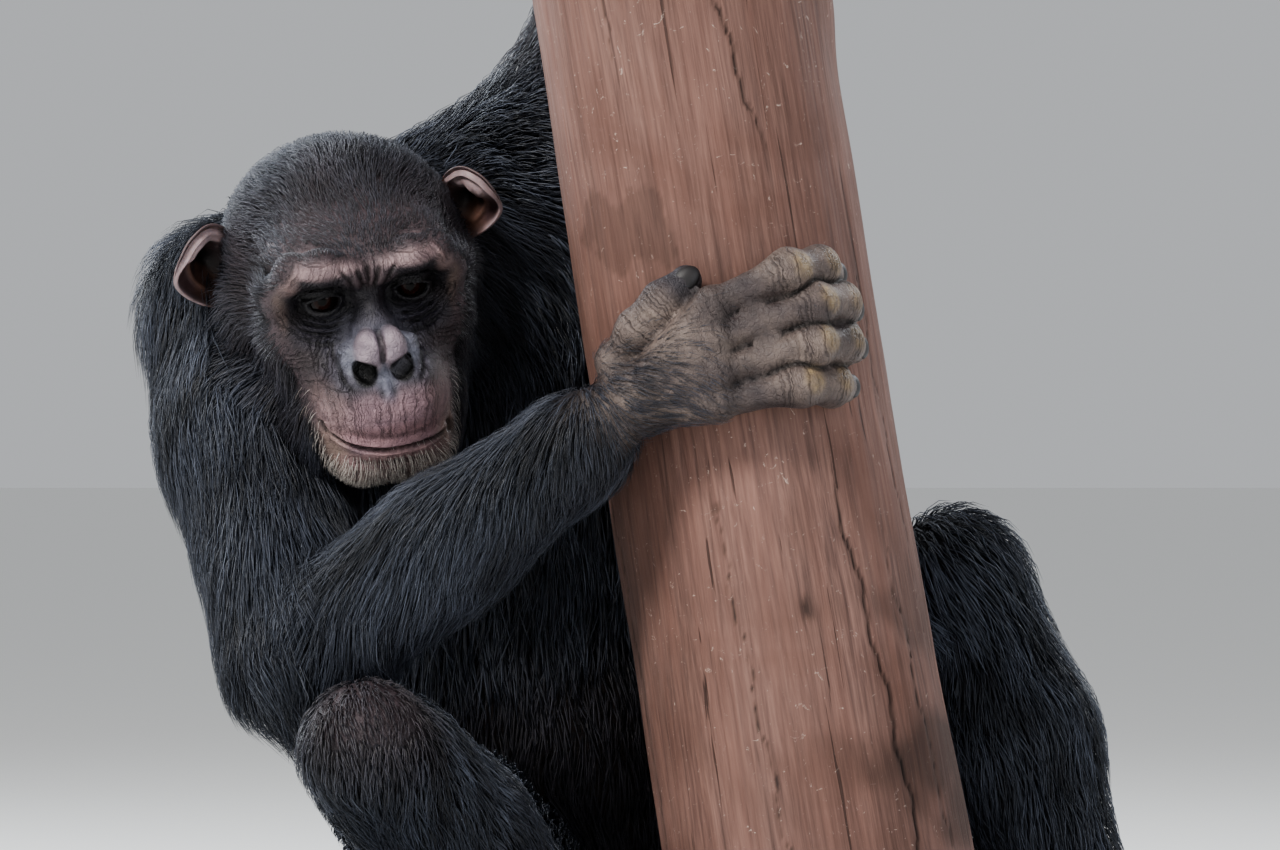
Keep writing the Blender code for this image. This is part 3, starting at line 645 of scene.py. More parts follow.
def relax(mesh, factor, area=None):
    """Even out the mesh, then put it back on the surface."""
    points = read_points(mesh)
    count = len(mesh.edges)
    pairs = np.empty(count * 2, np.int32)
    mesh.edges.foreach_get("vertices", pairs)
    pairs = pairs.reshape(-1, 2)
    total = np.zeros_like(points)
    degree = np.zeros(len(points))
    for near, far in ((0, 1), (1, 0)):
        np.add.at(total, pairs[:, near], points[pairs[:, far]])
        np.add.at(degree, pairs[:, near], 1.0)
    mean = total / np.maximum(degree, 1.0)[:, None]
    share = factor if area is None else factor * area(points)[:, None]
    write_points(mesh, settle(points + (mean - points) * share, BODY, 2))


# Folds of the face: lines in the head's own x and z, in millimetres, with width and depth

def arc(centre, size_x, size_z, first, last, steps=8):
    points = []
    for step in range(steps + 1):
        angle = math.radians(first + (last - first) * step / steps)
        points.append((centre[0] + size_x * math.cos(angle), centre[1] + size_z * math.sin(angle)))
    return points


MOUTH_AND_NOSE_FOLDS = 8     # the first of the folds, which may run over the nose


def face_folds():
    """Each fold is its points, width, depth and whether the other side has it too."""
    mouth = [(-37, -75), (-29, -80), (-18, -84), (-6, -86.5), (6, -87), (16, -87), (26, -86.5), (35, -85.5)]
    folds = [
        (mouth, 1.2, 3.4, False),
        ([(x, z + 4.2) for x, z in mouth[1:-1]], 2.4, -1.0, False),
        ([(x, z - 4.6) for x, z in mouth[1:-1]], 2.6, -1.6, False),
        ([(-40, -69), (-38.5, -73), (-37, -77)], 1.6, 1.8, False),
        ([(36, -80), (37, -84), (36.5, -89)], 1.6, 1.8, False),
        ([(0, -14), (0.4, -22), (0, -29), (0, -33)], 1.8, 1.6, False),
        ([(0, -42), (0, -47), (0, -53)], 1.8, -1.1, False),
        (arc((0, -36), 25, 13, 198, 342), 2.2, 0.35, False),
    ]
    for row, (size_x, size_z, depth) in enumerate(((15.5, 9.5, 1.1), (18, 13, 1.4), (21, 17, 1.5), (24.5, 22, 1.3),
                                                   (27, 27, 0.9))):
        folds.append((arc((27, -1), size_x, size_z, 195 + 7 * row, 322 - 3 * row), 1.15, depth, True))
    for row in range(3):
        folds.append(([(16 + 4.2 * row, -11 - 3 * row), (22 + 3.8 * row, -18 - 2 * row),
                       (28 + 3.2 * row, -28 - 2 * row), (31 + 3 * row, -38 - row)], 1.2, 1.3 - 0.2 * row, True))
    folds.append((arc((27, -1), 15, 7.0, 15, 165), 1.1, 1.2, True))
    folds.append((arc((27, 0), 19, 10.5, 20, 155), 1.2, 1.0, True))
    folds.append(([(25, -25), (26, -33), (24.5, -41), (20, -47)], 1.6, 1.3, True))
    folds.append(([(3, 8), (4.5, 15), (7, 23)], 1.3, 1.5, True))
    folds.append(([(9, 8), (12, 16), (17, 24)], 1.2, 1.1, True))
    folds.append(([(0, 8), (0, 24)], 1.2, 1.0, False))
    return folds


def line_distance(spots, points):
    """Distance of flat spots to a broken line, and how far along it they lie."""
    best = np.full(len(spots), 1e9)
    share_best = np.zeros(len(spots))
    for number, (start, end) in enumerate(zip(points[:-1], points[1:])):
        start = np.array(start, float)
        run = np.array(end, float) - start
        share = np.clip((spots - start) @ run / (run @ run), 0.0, 1.0)
        gap = length_of(spots - start - share[:, None] * run)
        closer = gap < best
        best = np.where(closer, gap, best)
        share_best = np.where(closer, (number + share) / (len(points) - 1), share_best)
    return best, share_best


def off_nose(local):
    """One on most of the face, none on the smooth nose."""
    return smooth_step(np.hypot(local[:, 0] / 0.019, (local[:, 2] + 0.029) / 0.020), 0.80, 1.60)


def face_relief(local):
    """How far the skin stands out, in metres, from folds and creases at places on the face."""
    spots = local[:, (0, 2)] / MM
    height = np.zeros(len(local))
    front = smooth_step(-local[:, 1], 0.062, 0.080)
    clear = off_nose(local)
    for number, (points, width, depth, both) in enumerate(face_folds()):
        sides = (1, -1) if both else (1,)
        for side in sides:
            gap, share = line_distance(spots, [(x * side, z) for x, z in points])
            fade = smooth_step(share, -0.05, 0.18) * smooth_step(1.0 - share, -0.05, 0.18)
            valley = np.exp(-(gap / width) ** 2) - 0.45 * np.exp(-((gap - 2.0 * width) / width) ** 2)
            height -= depth * MM * valley * fade * (clear if number >= MOUTH_AND_NOSE_FOLDS else 1.0)
    return height * front


def face_creases(local):
    """Fields of fine wrinkles: a coordinate that runs across them, in millimetres, and their strength."""
    x, y, z = local[:, 0] / MM, local[:, 1] / MM, local[:, 2] / MM
    far = np.abs(x)
    front = smooth_step(-y, 62.0, 80.0) * off_nose(local)
    reach = np.hypot(far - 27.0, 1.15 * (z + 1.0))

    def band(value, low, high, soft):
        return smooth_step(value, low - soft, low + soft) * smooth_step(-value, -high - soft, -high + soft)

    return [
        (reach, 1.0 * band(reach, 12.0, 29.0, 3.0) * band(z, -40.0, -5.0, 3.0) * front),
        (reach + 60.0, 0.8 * band(reach, 11.0, 19.0, 2.0) * band(z, 4.0, 16.0, 2.0) * front),
        (far * 0.85 + z * 0.5 + 120.0, 0.9 * band(far, 21.0, 38.0, 3.0) * band(z, -46.0, -17.0, 5.0) * front),
        (x + 200.0, 0.8 * band(x, -11.0, 11.0, 3.0) * band(z, 6.0, 27.0, 3.0) * front),
        (far + 0.5 * z + 260.0, 0.45 * band(far, 13.0, 56.0, 4.0) * band(z, 14.0, 30.0, 3.0) * front),
        (z - 0.10 * far + 340.0, 0.45 * band(z, 29.0, 46.0, 4.0) * band(x, -42.0, 42.0, 8.0) * front),
        (x * (1.0 - 0.006 * (z + 50.0)) + 420.0, 0.60 * band(z, -80.0, -44.0, 4.0) * band(x, -40.0, 40.0, 5.0) * front),
        (x + 520.0, 0.45 * band(z, -106.0, -91.0, 4.0) * band(x, -28.0, 28.0, 5.0) * front),
        (far * 0.3 + z + 640.0, 0.5 * band(far, 36.0, 56.0, 4.0) * band(z, -58.0, -12.0, 6.0) * front),
    ]


def digit_creases(points, normals):
    """Wrinkles across the backs of the knuckles of both hands."""
    fields = []
    for grip in (GRIP_RIGHT, GRIP_LEFT):
        for digit in (*FINGERS, "thumb"):
            joints, _ = digit_chain(grip, digit)
            for number, spread, strength in ((0, 14.0, 0.45), (1, 12.0, 0.85), (2, 7.0, 0.7)):
                ahead = joints[number + 1] - joints[max(number - 1, 0)]
                run = ahead / np.linalg.norm(ahead)
                rise = (joints[number] - TRUNK_MID) @ TRUNK_UP
                outward = joints[number] - TRUNK_MID - TRUNK_UP * rise
                offset = (points - joints[number]) / MM
                place = offset @ run
                aside = length_of(offset - place[:, None] * run)
                near = smooth_step(-aside, -19.0, -13.0) * np.exp(-((place + 2.0) / spread) ** 2)
                back = smooth_step(normals @ (outward / np.linalg.norm(outward)), -0.1, 0.5)
                fields.append((place + 40.0 * number, strength * near * back))
    return fields


def creases(points, normals):
    """The strongest field of wrinkles at each point: its coordinate in metres, and its strength."""
    best = np.zeros((len(points), 3))
    for place, strength in face_creases(head_local(points)) + digit_creases(points, normals):
        stronger = strength > best[:, 1]
        best[stronger, 0] = place[stronger] * MM
        best[stronger, 1] = strength[stronger]
    return best


# Colours of the face: centre and half sizes in the head's own millimetres, softness, colour, strength

FACE_BASE = linear("332e34")
FACE_SPOTS = (
    ((50, -84, -30), (16, 30, 30), 1.1, "352d2f", 0.88, True),
    # Near-black round the eyes: painted shade in the sockets under the brow.
    ((27, -96, 0), (26, 26, 20), 0.7, "0e0c11", 0.97, True),
    ((0, -100, 4), (14, 20, 12), 0.8, "1b181e", 0.85, False),
    ((27, -93, -21), (24, 22, 10), 0.9, "2b2932", 0.85, True),
    ((0, -98, 17), (15, 30, 8), 0.8, "4b3f42", 0.8, False),
    # The brow ridge's pinkish-tan band: partly its own colour, partly a painted highlight on the ridge's top.
    ((28, -98, 27), (26, 24, 6.8), 0.8, "937f80", 0.92, True),
    ((49, -88, 18), (8, 24, 10), 0.8, "7d6b69", 0.85, True),
    ((28, -88, 38), (30, 26, 6.5), 0.9, "3a3136", 0.85, True),
    ((55, -80, -6), (6, 24, 18), 0.8, "5d504b", 0.8, True),
    ((0, -112, -31), (26, 28, 20), 1.4, "5c5d69", 0.85, False),
    ((0, -118, -68), (43, 42, 20), 0.7, "8f777d", 0.95, False),
    # The upper lip's pinker band: partly its own colour, partly a painted highlight.
    ((0, -120, -77), (38, 42, 8), 0.9, "99797c", 0.6, False),
    ((34, -110, -62), (13, 30, 16), 0.9, "84706d", 0.5, True),
    ((0, -120, -48), (6.5, 14, 9), 0.9, "666a78", 0.8, False),
    ((18, -112, -30), (7.5, 16, 9), 0.8, "6f727e", 0.7, True),
    ((7.6, -120, -25), (8.4, 14, 12.8), 0.5, "8b7f87", 0.9, True),
    ((0, -118, -105), (40, 34, 17), 0.7, "917d7a", 0.85, False),
    ((38, -100, -92), (15, 30, 20), 0.8, "7d6c63", 0.75, True),
    ((0, -122, -93), (30, 30, 7), 0.8, "9c7f80", 0.8, False),
    # Near-black nostrils: painted shade in their hollows.
    ((11.2, -118, -37), (7.6, 20, 8.8), 0.30, "020203", 1.0, True),
)
UNDERCOAT = linear("15151a")
CROWN_SKIN = linear("443a3e")
BELLY_SKIN = linear("261c1a")
HAND_SKIN = linear("766a63")
HAND_DARK = linear("383133")
THUMB_END = linear("26262e")
CALLUS = linear("94805f")


def bare_face(local):
    """Share of bare skin at places on the head: one on the face, none under the coat."""
    x, y, z = np.abs(local[:, 0]) / MM, local[:, 1] / MM, local[:, 2] / MM
    width = np.interp(z, (-125, -110, -95, -75, -50, -25, 0, 12, 40), (18, 30, 38, 41, 44, 50, 57, 60, 60))
    top = np.interp(x, (0, 8, 28, 42, 52, 60), (23, 26, 32.5, 29, 17, 2))
    side = smooth_step(width - x, -4.0, 4.0)
    return side * smooth_step(-y, 58.0, 70.0) * smooth_step(top - z, -2.5, 3.5) * smooth_step(z, -128.0, -118.0)


def face_colour(local):
    colour = np.tile(FACE_BASE, (len(local), 1))
    spots = local / MM
    for centre, sizes, soft, code, strength, both in FACE_SPOTS:
        for side in ((1, -1) if both else (1,)):
            reach = length_of((spots - np.array((centre[0] * side, centre[1], centre[2]))) / np.array(sizes))
            share = strength * smooth_step(-reach, -1.0 - soft * 0.5, -1.0 + soft * 0.5)
            colour += (np.array(linear(code)) - colour) * share[:, None]
    return colour


def wander(points, size, seed):
    """A smooth pseudo-random field between 0 and 1, made of a few waves."""
    rng = np.random.default_rng(seed)
    total = np.zeros(len(points))
    for octave in range(3):
        for _ in range(4):
            direction = rng.normal(size=3)
            direction *= 2.0 ** octave * math.tau / (size * np.linalg.norm(direction))
            total += np.sin(points @ direction + rng.uniform(0.0, math.tau)) / 2.0 ** octave
    return 0.5 + 0.5 * np.clip(total / 4.5, -1.0, 1.0)


def region_weights(points):
    """For each region name, its share of influence at each point."""
    nearest = np.full(len(points), 1.0)
    gaps = []
    for item in BODY:
        if item.carve:
            gaps.append(None)
            continue
        index = np.nonzero(length_of(points - item.middle) < item.reach + 0.06)[0]
        gap = item.measure(points[index])[0]
        gaps.append((index, gap))
        nearest[index] = np.minimum(nearest[index], gap)
    weights = {}
    lies = np.zeros_like(points)
    total = np.zeros(len(points))
    for item, found in zip(BODY, gaps):
        if found is None:
            continue
        index, gap = found
        share = np.exp(-(gap - nearest[index]) / 0.008)
        field = weights.setdefault(item.region, np.zeros(len(points)))
        field[index] += share
        total[index] += share
        lies[index] += share[:, None] * item.lie
    for field in weights.values():
        field /= np.maximum(total, 1e-9)
    return weights, lies / np.maximum(total, 1e-9)[:, None]


def painted_cleft_shade(points):
    """Share of painted shade in the clefts, where two fingers are about equally near."""
    digits = [item for item in BODY if isinstance(item, Digit) and item.region == "digit"]
    gaps = np.sort(np.stack([item.measure(points)[0] for item in digits]), axis=0)
    share = smooth_step(-(gaps[1] - gaps[0]), -0.0050, -0.0008)
    return share * smooth_step(-gaps[1], -0.0060, -0.0010)


def skin_colour(points, relief):
    """Linear colour of the skin at points of the body, with painted shade in its folds and between the fingers, and a
    slight painted highlight on raised parts.
    """
    weights, _ = region_weights(points)
    local = head_local(points)
    on_skull = sum(weights.get(name, 0.0) for name in ("crown", "face", "chin", "cheek"))
    bare = bare_face(local) * on_skull
    colour = np.tile(UNDERCOAT, (len(points), 1))
    belly = weights["belly"] * smooth_step(-measure(points, BODY)[1][:, 1], 0.0, 0.6)
    colour += (np.array(BELLY_SKIN) - colour) * belly[:, None]
    crown = (weights["crown"] + weights["face"]) * smooth_step(-local[:, 1], -0.02, 0.05)
    colour += (np.array(CROWN_SKIN) - colour) * crown[:, None]
    colour += (face_colour(local) - colour) * bare[:, None]
    hand = np.clip(weights["hand"] + weights["digit"] + weights["foot"] + weights["toe"], 0.0, 1.0)
    tone = np.array(HAND_DARK) + (np.array(HAND_SKIN) - np.array(HAND_DARK)) * wander(points, 0.05, 3)[:, None]
    colour += (tone - colour) * hand[:, None]
    for grip in (GRIP_RIGHT, GRIP_LEFT):
        thumb_end = smooth_step(-length_of(points - on_trunk(*grip["thumb"][3])), -0.024, -0.012)
        colour += (np.array(THUMB_END) - colour) * (thumb_end * weights["digit"])[:, None]
    for grip in (GRIP_RIGHT, GRIP_LEFT):
        for digit in FINGERS:
            for place, strength in ((grip[digit][1], 0.6), (grip[digit][2], 0.45)):
                rise, angle, radius = place
                gap = length_of(points - on_trunk(rise + 0.002, angle + 3.0, radius + 0.009))
                patch = smooth_step(-gap, -0.0110, -0.0050) * weights["digit"] * strength
                patch = patch * (0.2 + 1.3 * wander(points, 0.007, 21))
                colour += (np.array(CALLUS) - colour) * np.clip(patch, 0.0, 1.0)[:, None]
    knee = smooth_step(-length_of(points - np.array(KNEE_RIGHT) - np.array((0.0, -0.02, 0.025))), -0.045, -0.02)
    colour += (np.array(CROWN_SKIN) - colour) * knee[:, None] * 0.8
    # Painted shade in the clefts between neighbouring fingers.
    colour *= 1.0 - 0.78 * painted_cleft_shade(points)[:, None]
    mottle = 0.80 + 0.40 * wander(points, 0.009, 7)
    # Painted shade: folds darken with their depth, and raised parts get a slight painted highlight.
    fold = np.clip(1.0 + relief / (1.3 * MM), 0.42, 1.12)
    return colour * (mottle * fold)[:, None]


def digit_relief(points, normals, weights):
    """Low swellings of the knuckles."""
    height = np.zeros(len(points))
    for grip in (GRIP_RIGHT, GRIP_LEFT):
        for digit in (*FINGERS, "thumb"):
            joints, _ = digit_chain(grip, digit)
            for number in (1, 2):
                ahead = joints[number + 1] - joints[number - 1]
                offset = points - joints[number]
                place = offset @ (ahead / np.linalg.norm(ahead))
                near = smooth_step(-length_of(offset), -0.021, -0.015)
                height += 0.0008 * np.exp(-((place - 0.002) / 0.006) ** 2) * near
    return height * np.clip(weights["digit"] * 1.5, 0.0, 1.0)


def skin_material():
    """Bare primate skin: matt and finely creased, its roughness varying in blotches."""
    material, tree, shader = new_material("creased_skin", {"Roughness": 0.52, "IOR": 1.42})
    place = add(tree, "ShaderNodeTexCoord").outputs["Object"]
    tint = add(tree, "ShaderNodeVertexColor", {"layer_name": "Tint"}).outputs[0]
    blotch = noise(tree, place, 0.006, 5.0)
    freckle = add(tree, "ShaderNodeTexVoronoi", {"Scale": 1.0 / 0.0035}, {"Vector": place}).outputs["Distance"]
    dark = mixed(tree, ramp(tree, blotch, 0.35, 0.7), (0.78, 0.76, 0.78), (1.12, 1.10, 1.08))
    toned = mixed(tree, 1.0, tint, dark, "MULTIPLY")
    dots = ramp(tree, freckle, 0.10, 0.32, 0.72, 1.0)
    dotted = mixed(tree, 1.0, toned, mixed(tree, dots, (0.62, 0.58, 0.56), (1.0, 1.0, 1.0)), "MULTIPLY")
    field = add(tree, "ShaderNodeVertexColor", {"layer_name": "Crease"}).outputs[0]
    parts = add(tree, "ShaderNodeSeparateColor", links={"Color": field}).outputs
    sway = ramp(tree, noise(tree, place, 0.008, 3.0), 0.2, 0.8, -0.0026, 0.0026)
    across = add(tree, "ShaderNodeMath", {"operation": "ADD"}, {0: parts["Red"], 1: sway}).outputs[0]
    line = add(tree, "ShaderNodeTexNoise", {"noise_dimensions": "1D", "Scale": 1.0 / 0.0019, "Detail": 2.0},
               {"W": across}).outputs["Fac"]
    valley = ramp(tree, line, 0.50, 0.34)
    cut = add(tree, "ShaderNodeMath", {"operation": "MULTIPLY"}, {0: valley, 1: parts["Green"]}).outputs[0]
    # Painted shade darkens the valleys of the fine creases.
    shade = mixed(tree, cut, (1.0, 1.0, 1.0), (0.28, 0.25, 0.27))
    tree.links.new(mixed(tree, 1.0, dotted, shade, "MULTIPLY"), shader.inputs["Base Color"])
    bent = add(tree, "ShaderNodeVectorMath", {"operation": "SCALE", "Scale": 0.0035},
               {0: add(tree, "ShaderNodeTexNoise", {"Scale": 1.0 / 0.008}, {"Vector": place}).outputs["Color"]})
    bent = add(tree, "ShaderNodeVectorMath", {"operation": "ADD"}, {0: place, 1: bent.outputs[0]}).outputs[0]
    leather = add(tree, "ShaderNodeTexVoronoi", {"feature": "DISTANCE_TO_EDGE", "Scale": 1.0 / 0.0042},
                  {"Vector": bent}).outputs["Distance"]
    pore = add(tree, "ShaderNodeTexVoronoi", {"Scale": 1.0 / 0.0012}, {"Vector": place}).outputs["Distance"]
    wrinkle = noise(tree, place, 0.0026, 6.0, 1.2, 0.62)
    fine = bump(tree, pore, 0.0003, 0.6)
    fine = bump(tree, wrinkle, 0.0009, 0.75, fine)
    fine = bump(tree, ramp(tree, leather, 0.0, 0.14), 0.0004, 0.6, fine)
    raised = add(tree, "ShaderNodeMath", {"operation": "SUBTRACT", 0: 1.0}, {1: cut}).outputs[0]
    tree.links.new(bump(tree, raised, 0.0012, 0.9, fine), shader.inputs["Normal"])
    tree.links.new(ramp(tree, blotch, 0.3, 0.75, 0.42, 0.62), shader.inputs["Roughness"])
    return material


FLESH_NODES = [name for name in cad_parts
               if not name.startswith(("eye_", "ear_", "perch_", "stand_"))]


def build_skin(settings):
    item = new_object("skin", ball_cluster())
    remesh = item.modifiers.new("Closed skin", "REMESH")
    remesh.mode = "VOXEL"
    remesh.voxel_size = settings.mesh_size
    mesh = applied(item)
    write_points(mesh, settle(read_points(mesh), BODY, 6))
    relax(mesh, 0.5)
    for area in (head_area, hands_and_feet_area):
        refine(mesh, area)
    relax(mesh, 0.4)
    for area in (face_area, right_hand_area):
        refine(mesh, area)
    relax(mesh, 0.4, lambda points: face_area(points) | right_hand_area(points))
    refine(mesh, face_core_area)
    relax(mesh, 0.35, face_core_area)
    points = settle(read_points(mesh), BODY, 2)
    write_points(mesh, points)
    normals = read_normals(mesh)
    local = head_local(points)
    weights, _ = region_weights(points)
    height = np.where(face_area(points), face_relief(local), 0.0)
    height += digit_relief(points, normals, weights)
    height += 0.0009 * (wander(points, 0.022, 5) - 0.5) * np.clip(weights["hand"] + weights["foot"], 0.0, 1.0)
    points = points + normals * height[:, None]
    points[:, 2] = np.maximum(points[:, 2], SOLE)
    write_points(mesh, points)
    write_colour(mesh, "Tint", skin_colour(points, height))
    write_colour(mesh, "Crease", creases(points, normals))
    mesh.shade_smooth()
    mesh.materials.append(skin_material())
    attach(item, "root")
    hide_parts(*FLESH_NODES)
    return item


# Coat: hair length, depth over the skin and tuft width in millimetres, and tufts for each square centimetre

HAIR = {
    "crown": (27, 6.4, 0.58, 36), "face": (34, 6.5, 0.62, 32), "chin": (28, 6.0, 0.6, 26),
    "cheek": (40, 8.5, 0.68, 32),
    "neck": (42, 10.0, 1.1, 15), "back": (48, 10.0, 1.8, 6.5), "belly": (36, 6.0, 1.5, 5),
    "shoulder_left": (36, 10.0, 1.3, 10), "shoulder_right": (58, 11.0, 0.88, 18),
    "upper_arm_right": (58, 11.0, 0.82, 20), "upper_arm_left": (44, 11.0, 1.5, 8),
    "forearm_right": (44, 9.5, 0.78, 24), "forearm_left": (40, 9.0, 1.4, 9),
    "wrist_right": (28, 4.5, 0.70, 22), "wrist_left": (26, 5.0, 1.1, 10),
    "thigh_right": (34, 8.0, 1.4, 9), "thigh_left": (34, 8.0, 1.5, 8),
    "shin_right": (24, 5.0, 0.95, 15), "shin_left": (36, 8.0, 1.2, 12),
    "hand": (14, 0.9, 0.34, 16), "digit": (4, 0.5, 0.3, 0.8), "foot": (12, 1.2, 0.6, 5), "toe": (5, 0.5, 0.4, 2),
}
COAT_GROUPS = {
    "coat_head": ("crown", "cheek", "face", "chin"), "coat_face": ("face", "chin", "cheek"), "coat_neck": ("neck",),
    "coat_back": ("back",), "coat_belly": ("belly",), "coat_shoulders": ("shoulder_left", "shoulder_right"),
    "coat_upper_arm_right": ("upper_arm_right",), "coat_forearm_right": ("forearm_right", "wrist_right"),
    "coat_arm_left": ("upper_arm_left", "forearm_left", "wrist_left"),
    "coat_leg_right": ("thigh_right", "shin_right"), "coat_leg_left": ("thigh_left", "shin_left"),
    "coat_hands_feet": ("hand", "digit", "foot", "toe"),
}
FACE_HAIR = np.array((12.5, 2.4, 0.28)) * MM
MOST_TUFTS = 12000           # tufts in one piece, which keeps it under 200,000 triangles


def hair_lie(points, normals, weights, lies):
    """Which way the coat lies: along each limb and down, back over the crown, toward the elbow below it."""
    local = head_local(points)
    side = np.sign(local[:, 0]) * smooth_step(np.abs(local[:, 0]), 0.0, 0.03)
    low = smooth_step(-local[:, 2], -0.015, 0.05)
    head = np.stack((0.35 * side, 1.0 - 0.6 * low, 0.15 - 1.15 * low), axis=1) @ HEAD_TURN.T
    skull = weights["crown"] + weights["cheek"] + weights["face"]
    to_elbow = unit((np.array(ELBOW_RIGHT) - WRIST_RIGHT)[None])[0] * 0.30 + DOWN * 0.95
    forearm = weights["forearm_right"] + weights["wrist_right"] * 0.7
    left_arm = weights["upper_arm_left"] + weights["forearm_left"]
    flow = lies * 0.9 + DOWN * 0.45
    flow += (head - flow) * skull[:, None]
    flow += (to_elbow - flow) * forearm[:, None]
    flow += (lies * 0.6 + DOWN * 0.8 - flow) * left_arm[:, None]
    chin = np.stack((0.6 * side, 0.1 * np.ones(len(points)), -1.0 * np.ones(len(points))), axis=1) @ HEAD_TURN.T
    flow += (chin - flow) * weights["chin"][:, None]
    flow -= normals * (flow * normals).sum(axis=1)[:, None]
    return unit(flow)


def tuft_template():
    """A three-sided spike in four lengths: its points and faces, with x across, y thick and z along."""
    shape = bmesh.new()
    bmesh.ops.create_cone(shape, cap_ends=True, segments=3, radius1=1.0, radius2=0.0, depth=1.0,
                          matrix=Matrix.Translation((0.0, 0.0, 0.5)))
    long_edges = [edge for edge in shape.edges if abs(edge.verts[0].co.z - edge.verts[1].co.z) > 0.5]
    bmesh.ops.subdivide_edges(shape, edges=long_edges, cuts=2)
    # A tuft's own axes are left-handed, which mirrors the spike, so its faces are turned round here
    bmesh.ops.reverse_faces(shape, faces=shape.faces)
    return template_of(shape)


TUFT_POINTS, TUFT_FACES = tuft_template()


def keep_off_trunk(points, clear):
    """Push points out of the trunk."""
    offset = points - TRUNK_MID
    rise = offset @ TRUNK_UP
    radial = offset - rise[:, None] * TRUNK_UP
    size = np.maximum(length_of(radial), 1e-6)
    short = np.maximum(trunk_radius(rise) + clear - size, 0.0)
    return points + radial / size[:, None] * short[:, None]


def tuft_mesh(name, roots, normals, flow, length, depth, width, chart, colour, rng):
    """Many closed tufts as one mesh, each lying along the flow over the skin."""
    count = len(roots)
    swing = (rng.normal(0.0, 0.15, count) + 0.8 * (wander(roots, 0.040, 61) - 0.5))[:, None]
    swing = swing * np.cross(normals, flow)
    flow = unit(flow + swing)
    droop = 0.10 * length[:, None] * DOWN
    rise = depth * rng.uniform(0.55, 1.15, count)
    rings = [roots - normals * 0.0015]
    levels = (0.0, 0.62, 0.95, 0.86)
    for step in (1, 2, 3):
        share = step / 3.0
        ring = roots + flow * (length * share)[:, None] + normals * (rise * levels[step])[:, None]
        ring = ring + droop * share * share
        gap, slope = measure(ring, BODY)
        wanted = rise * levels[step]
        outward = unit(slope)
        pull = np.where(gap > wanted, 0.72, 1.0)
        ring = ring - outward * ((gap - wanted) * pull)[:, None]
        ring = keep_off_trunk(ring, 0.0012)
        ring[:, 2] = np.maximum(ring[:, 2], SOLE + 0.001)
        rings.append(ring)
    frames = []
    for step in range(4):
        ahead = rings[min(step + 1, 3)] - rings[max(step - 1, 0)]
        ahead = unit(ahead)
        across = unit(np.cross(ahead, normals))
        frames.append((across, np.cross(across, ahead)))
    thick = np.array((0.80, 1.0, 0.72, 0.0))
    points = np.empty((count, len(TUFT_POINTS), 3))
    for number, spot in enumerate(TUFT_POINTS):
        step = int(round(spot[2] * 3.0))
        across, up = frames[step]
        reach = math.hypot(spot[0], spot[1])
        if reach < 1e-6:
            points[:, number] = rings[step]
            continue
        place = 0.5 * width * thick[step]
        points[:, number] = (rings[step] + across * (place * spot[0] / reach)[:, None]
                             + up * (place * 0.40 * spot[1] / reach)[:, None])
    mesh, loops = tiled_mesh(name, points, TUFT_FACES)
    spots = TUFT_POINTS[:, (0, 2)] * np.array((0.5, 1.0)) + np.array((0.0, -0.5))
    patch = chart[:, None, :] + 0.003 * spots[None, :, :]
    layer = mesh.uv_layers.new(name="OFBake")
    layer.data.foreach_set("uv", patch[:, loops].astype(np.float32).ravel())
    # Each tuft is painted darker toward its root, as shade under the coat, and a little lighter at its tip.
    fade = 0.55 + 0.60 * TUFT_POINTS[:, 2]
    write_colour(mesh, "Tint", (colour[:, None, :] * fade[None, :, None]).reshape(-1, 3))
    mesh.shade_smooth()
    return mesh


def skin_chart(points):
    """An unwrap of the body: each bone or mass has a cell, with place along it and angle round it."""
    solid = [item for item in BODY if not item.carve]
    columns = math.ceil(math.sqrt(len(solid)))
    best = np.full(len(points), 1.0)
    chart = np.zeros((len(points), 2))
    for number, item in enumerate(solid):
        gap = item.measure(points)[0]
        index = np.nonzero(gap < best)[0]
        best[index] = gap[index]
        offset = points[index] - item.start
        size = np.linalg.norm(item.axis)
        axis = item.axis / size
        reach = item.reach * 2.0
        up = np.clip((offset @ axis) / reach, -0.2, 1.2)
        aside = np.array((0.0, -1.0, 0.0)) if abs(axis[1]) < 0.8 else np.array((1.0, 0.0, 0.0))
        aside = np.cross(axis, aside)
        ahead = np.cross(axis, aside)
        angle = np.arctan2(offset @ aside, offset @ ahead) / math.tau + 0.5
        cell = np.array((number % columns, number // columns))
        chart[index, 0] = (cell[0] + 0.06 + 0.88 * angle) / columns
        chart[index, 1] = (cell[1] + 0.15 + 0.70 * (up + 0.2) / 1.4) / columns
    return chart


def coat_material(name):
    """Ape hair: black with a soft blue-grey sheen where light rakes along it, never glossy."""
    material, tree, shader = new_material(name, {"Roughness": 0.43, "IOR": 1.48, "Sheen Weight": 0.18,
                                                 "Sheen Roughness": 0.45,
                                                 "Sheen Tint": (*linear("a2a9bb"), 1.0)})
    tint = add(tree, "ShaderNodeVertexColor", {"layer_name": "Tint"}).outputs[0]
    tree.links.new(tint, shader.inputs["Base Color"])
    return material


HAIR_DARK = np.array(linear("151619"))
# Blue-grey painted sheen, mixed into the coat in streaks.
PAINTED_HAIR_SHEEN = np.array(linear("626979"))
HAIR_BROWN = np.array(linear("4a3c3c"))
HAIR_PALE = (np.array(linear("a3968f")), np.array(linear("ece6de")))


def near_knee(points):
    """Share of the bent right knee's bare-worn cap."""
    cap = np.array(KNEE_RIGHT) + np.array((0.004, -0.020, 0.030))
    return smooth_step(-length_of(points - cap), -0.062, -0.022)


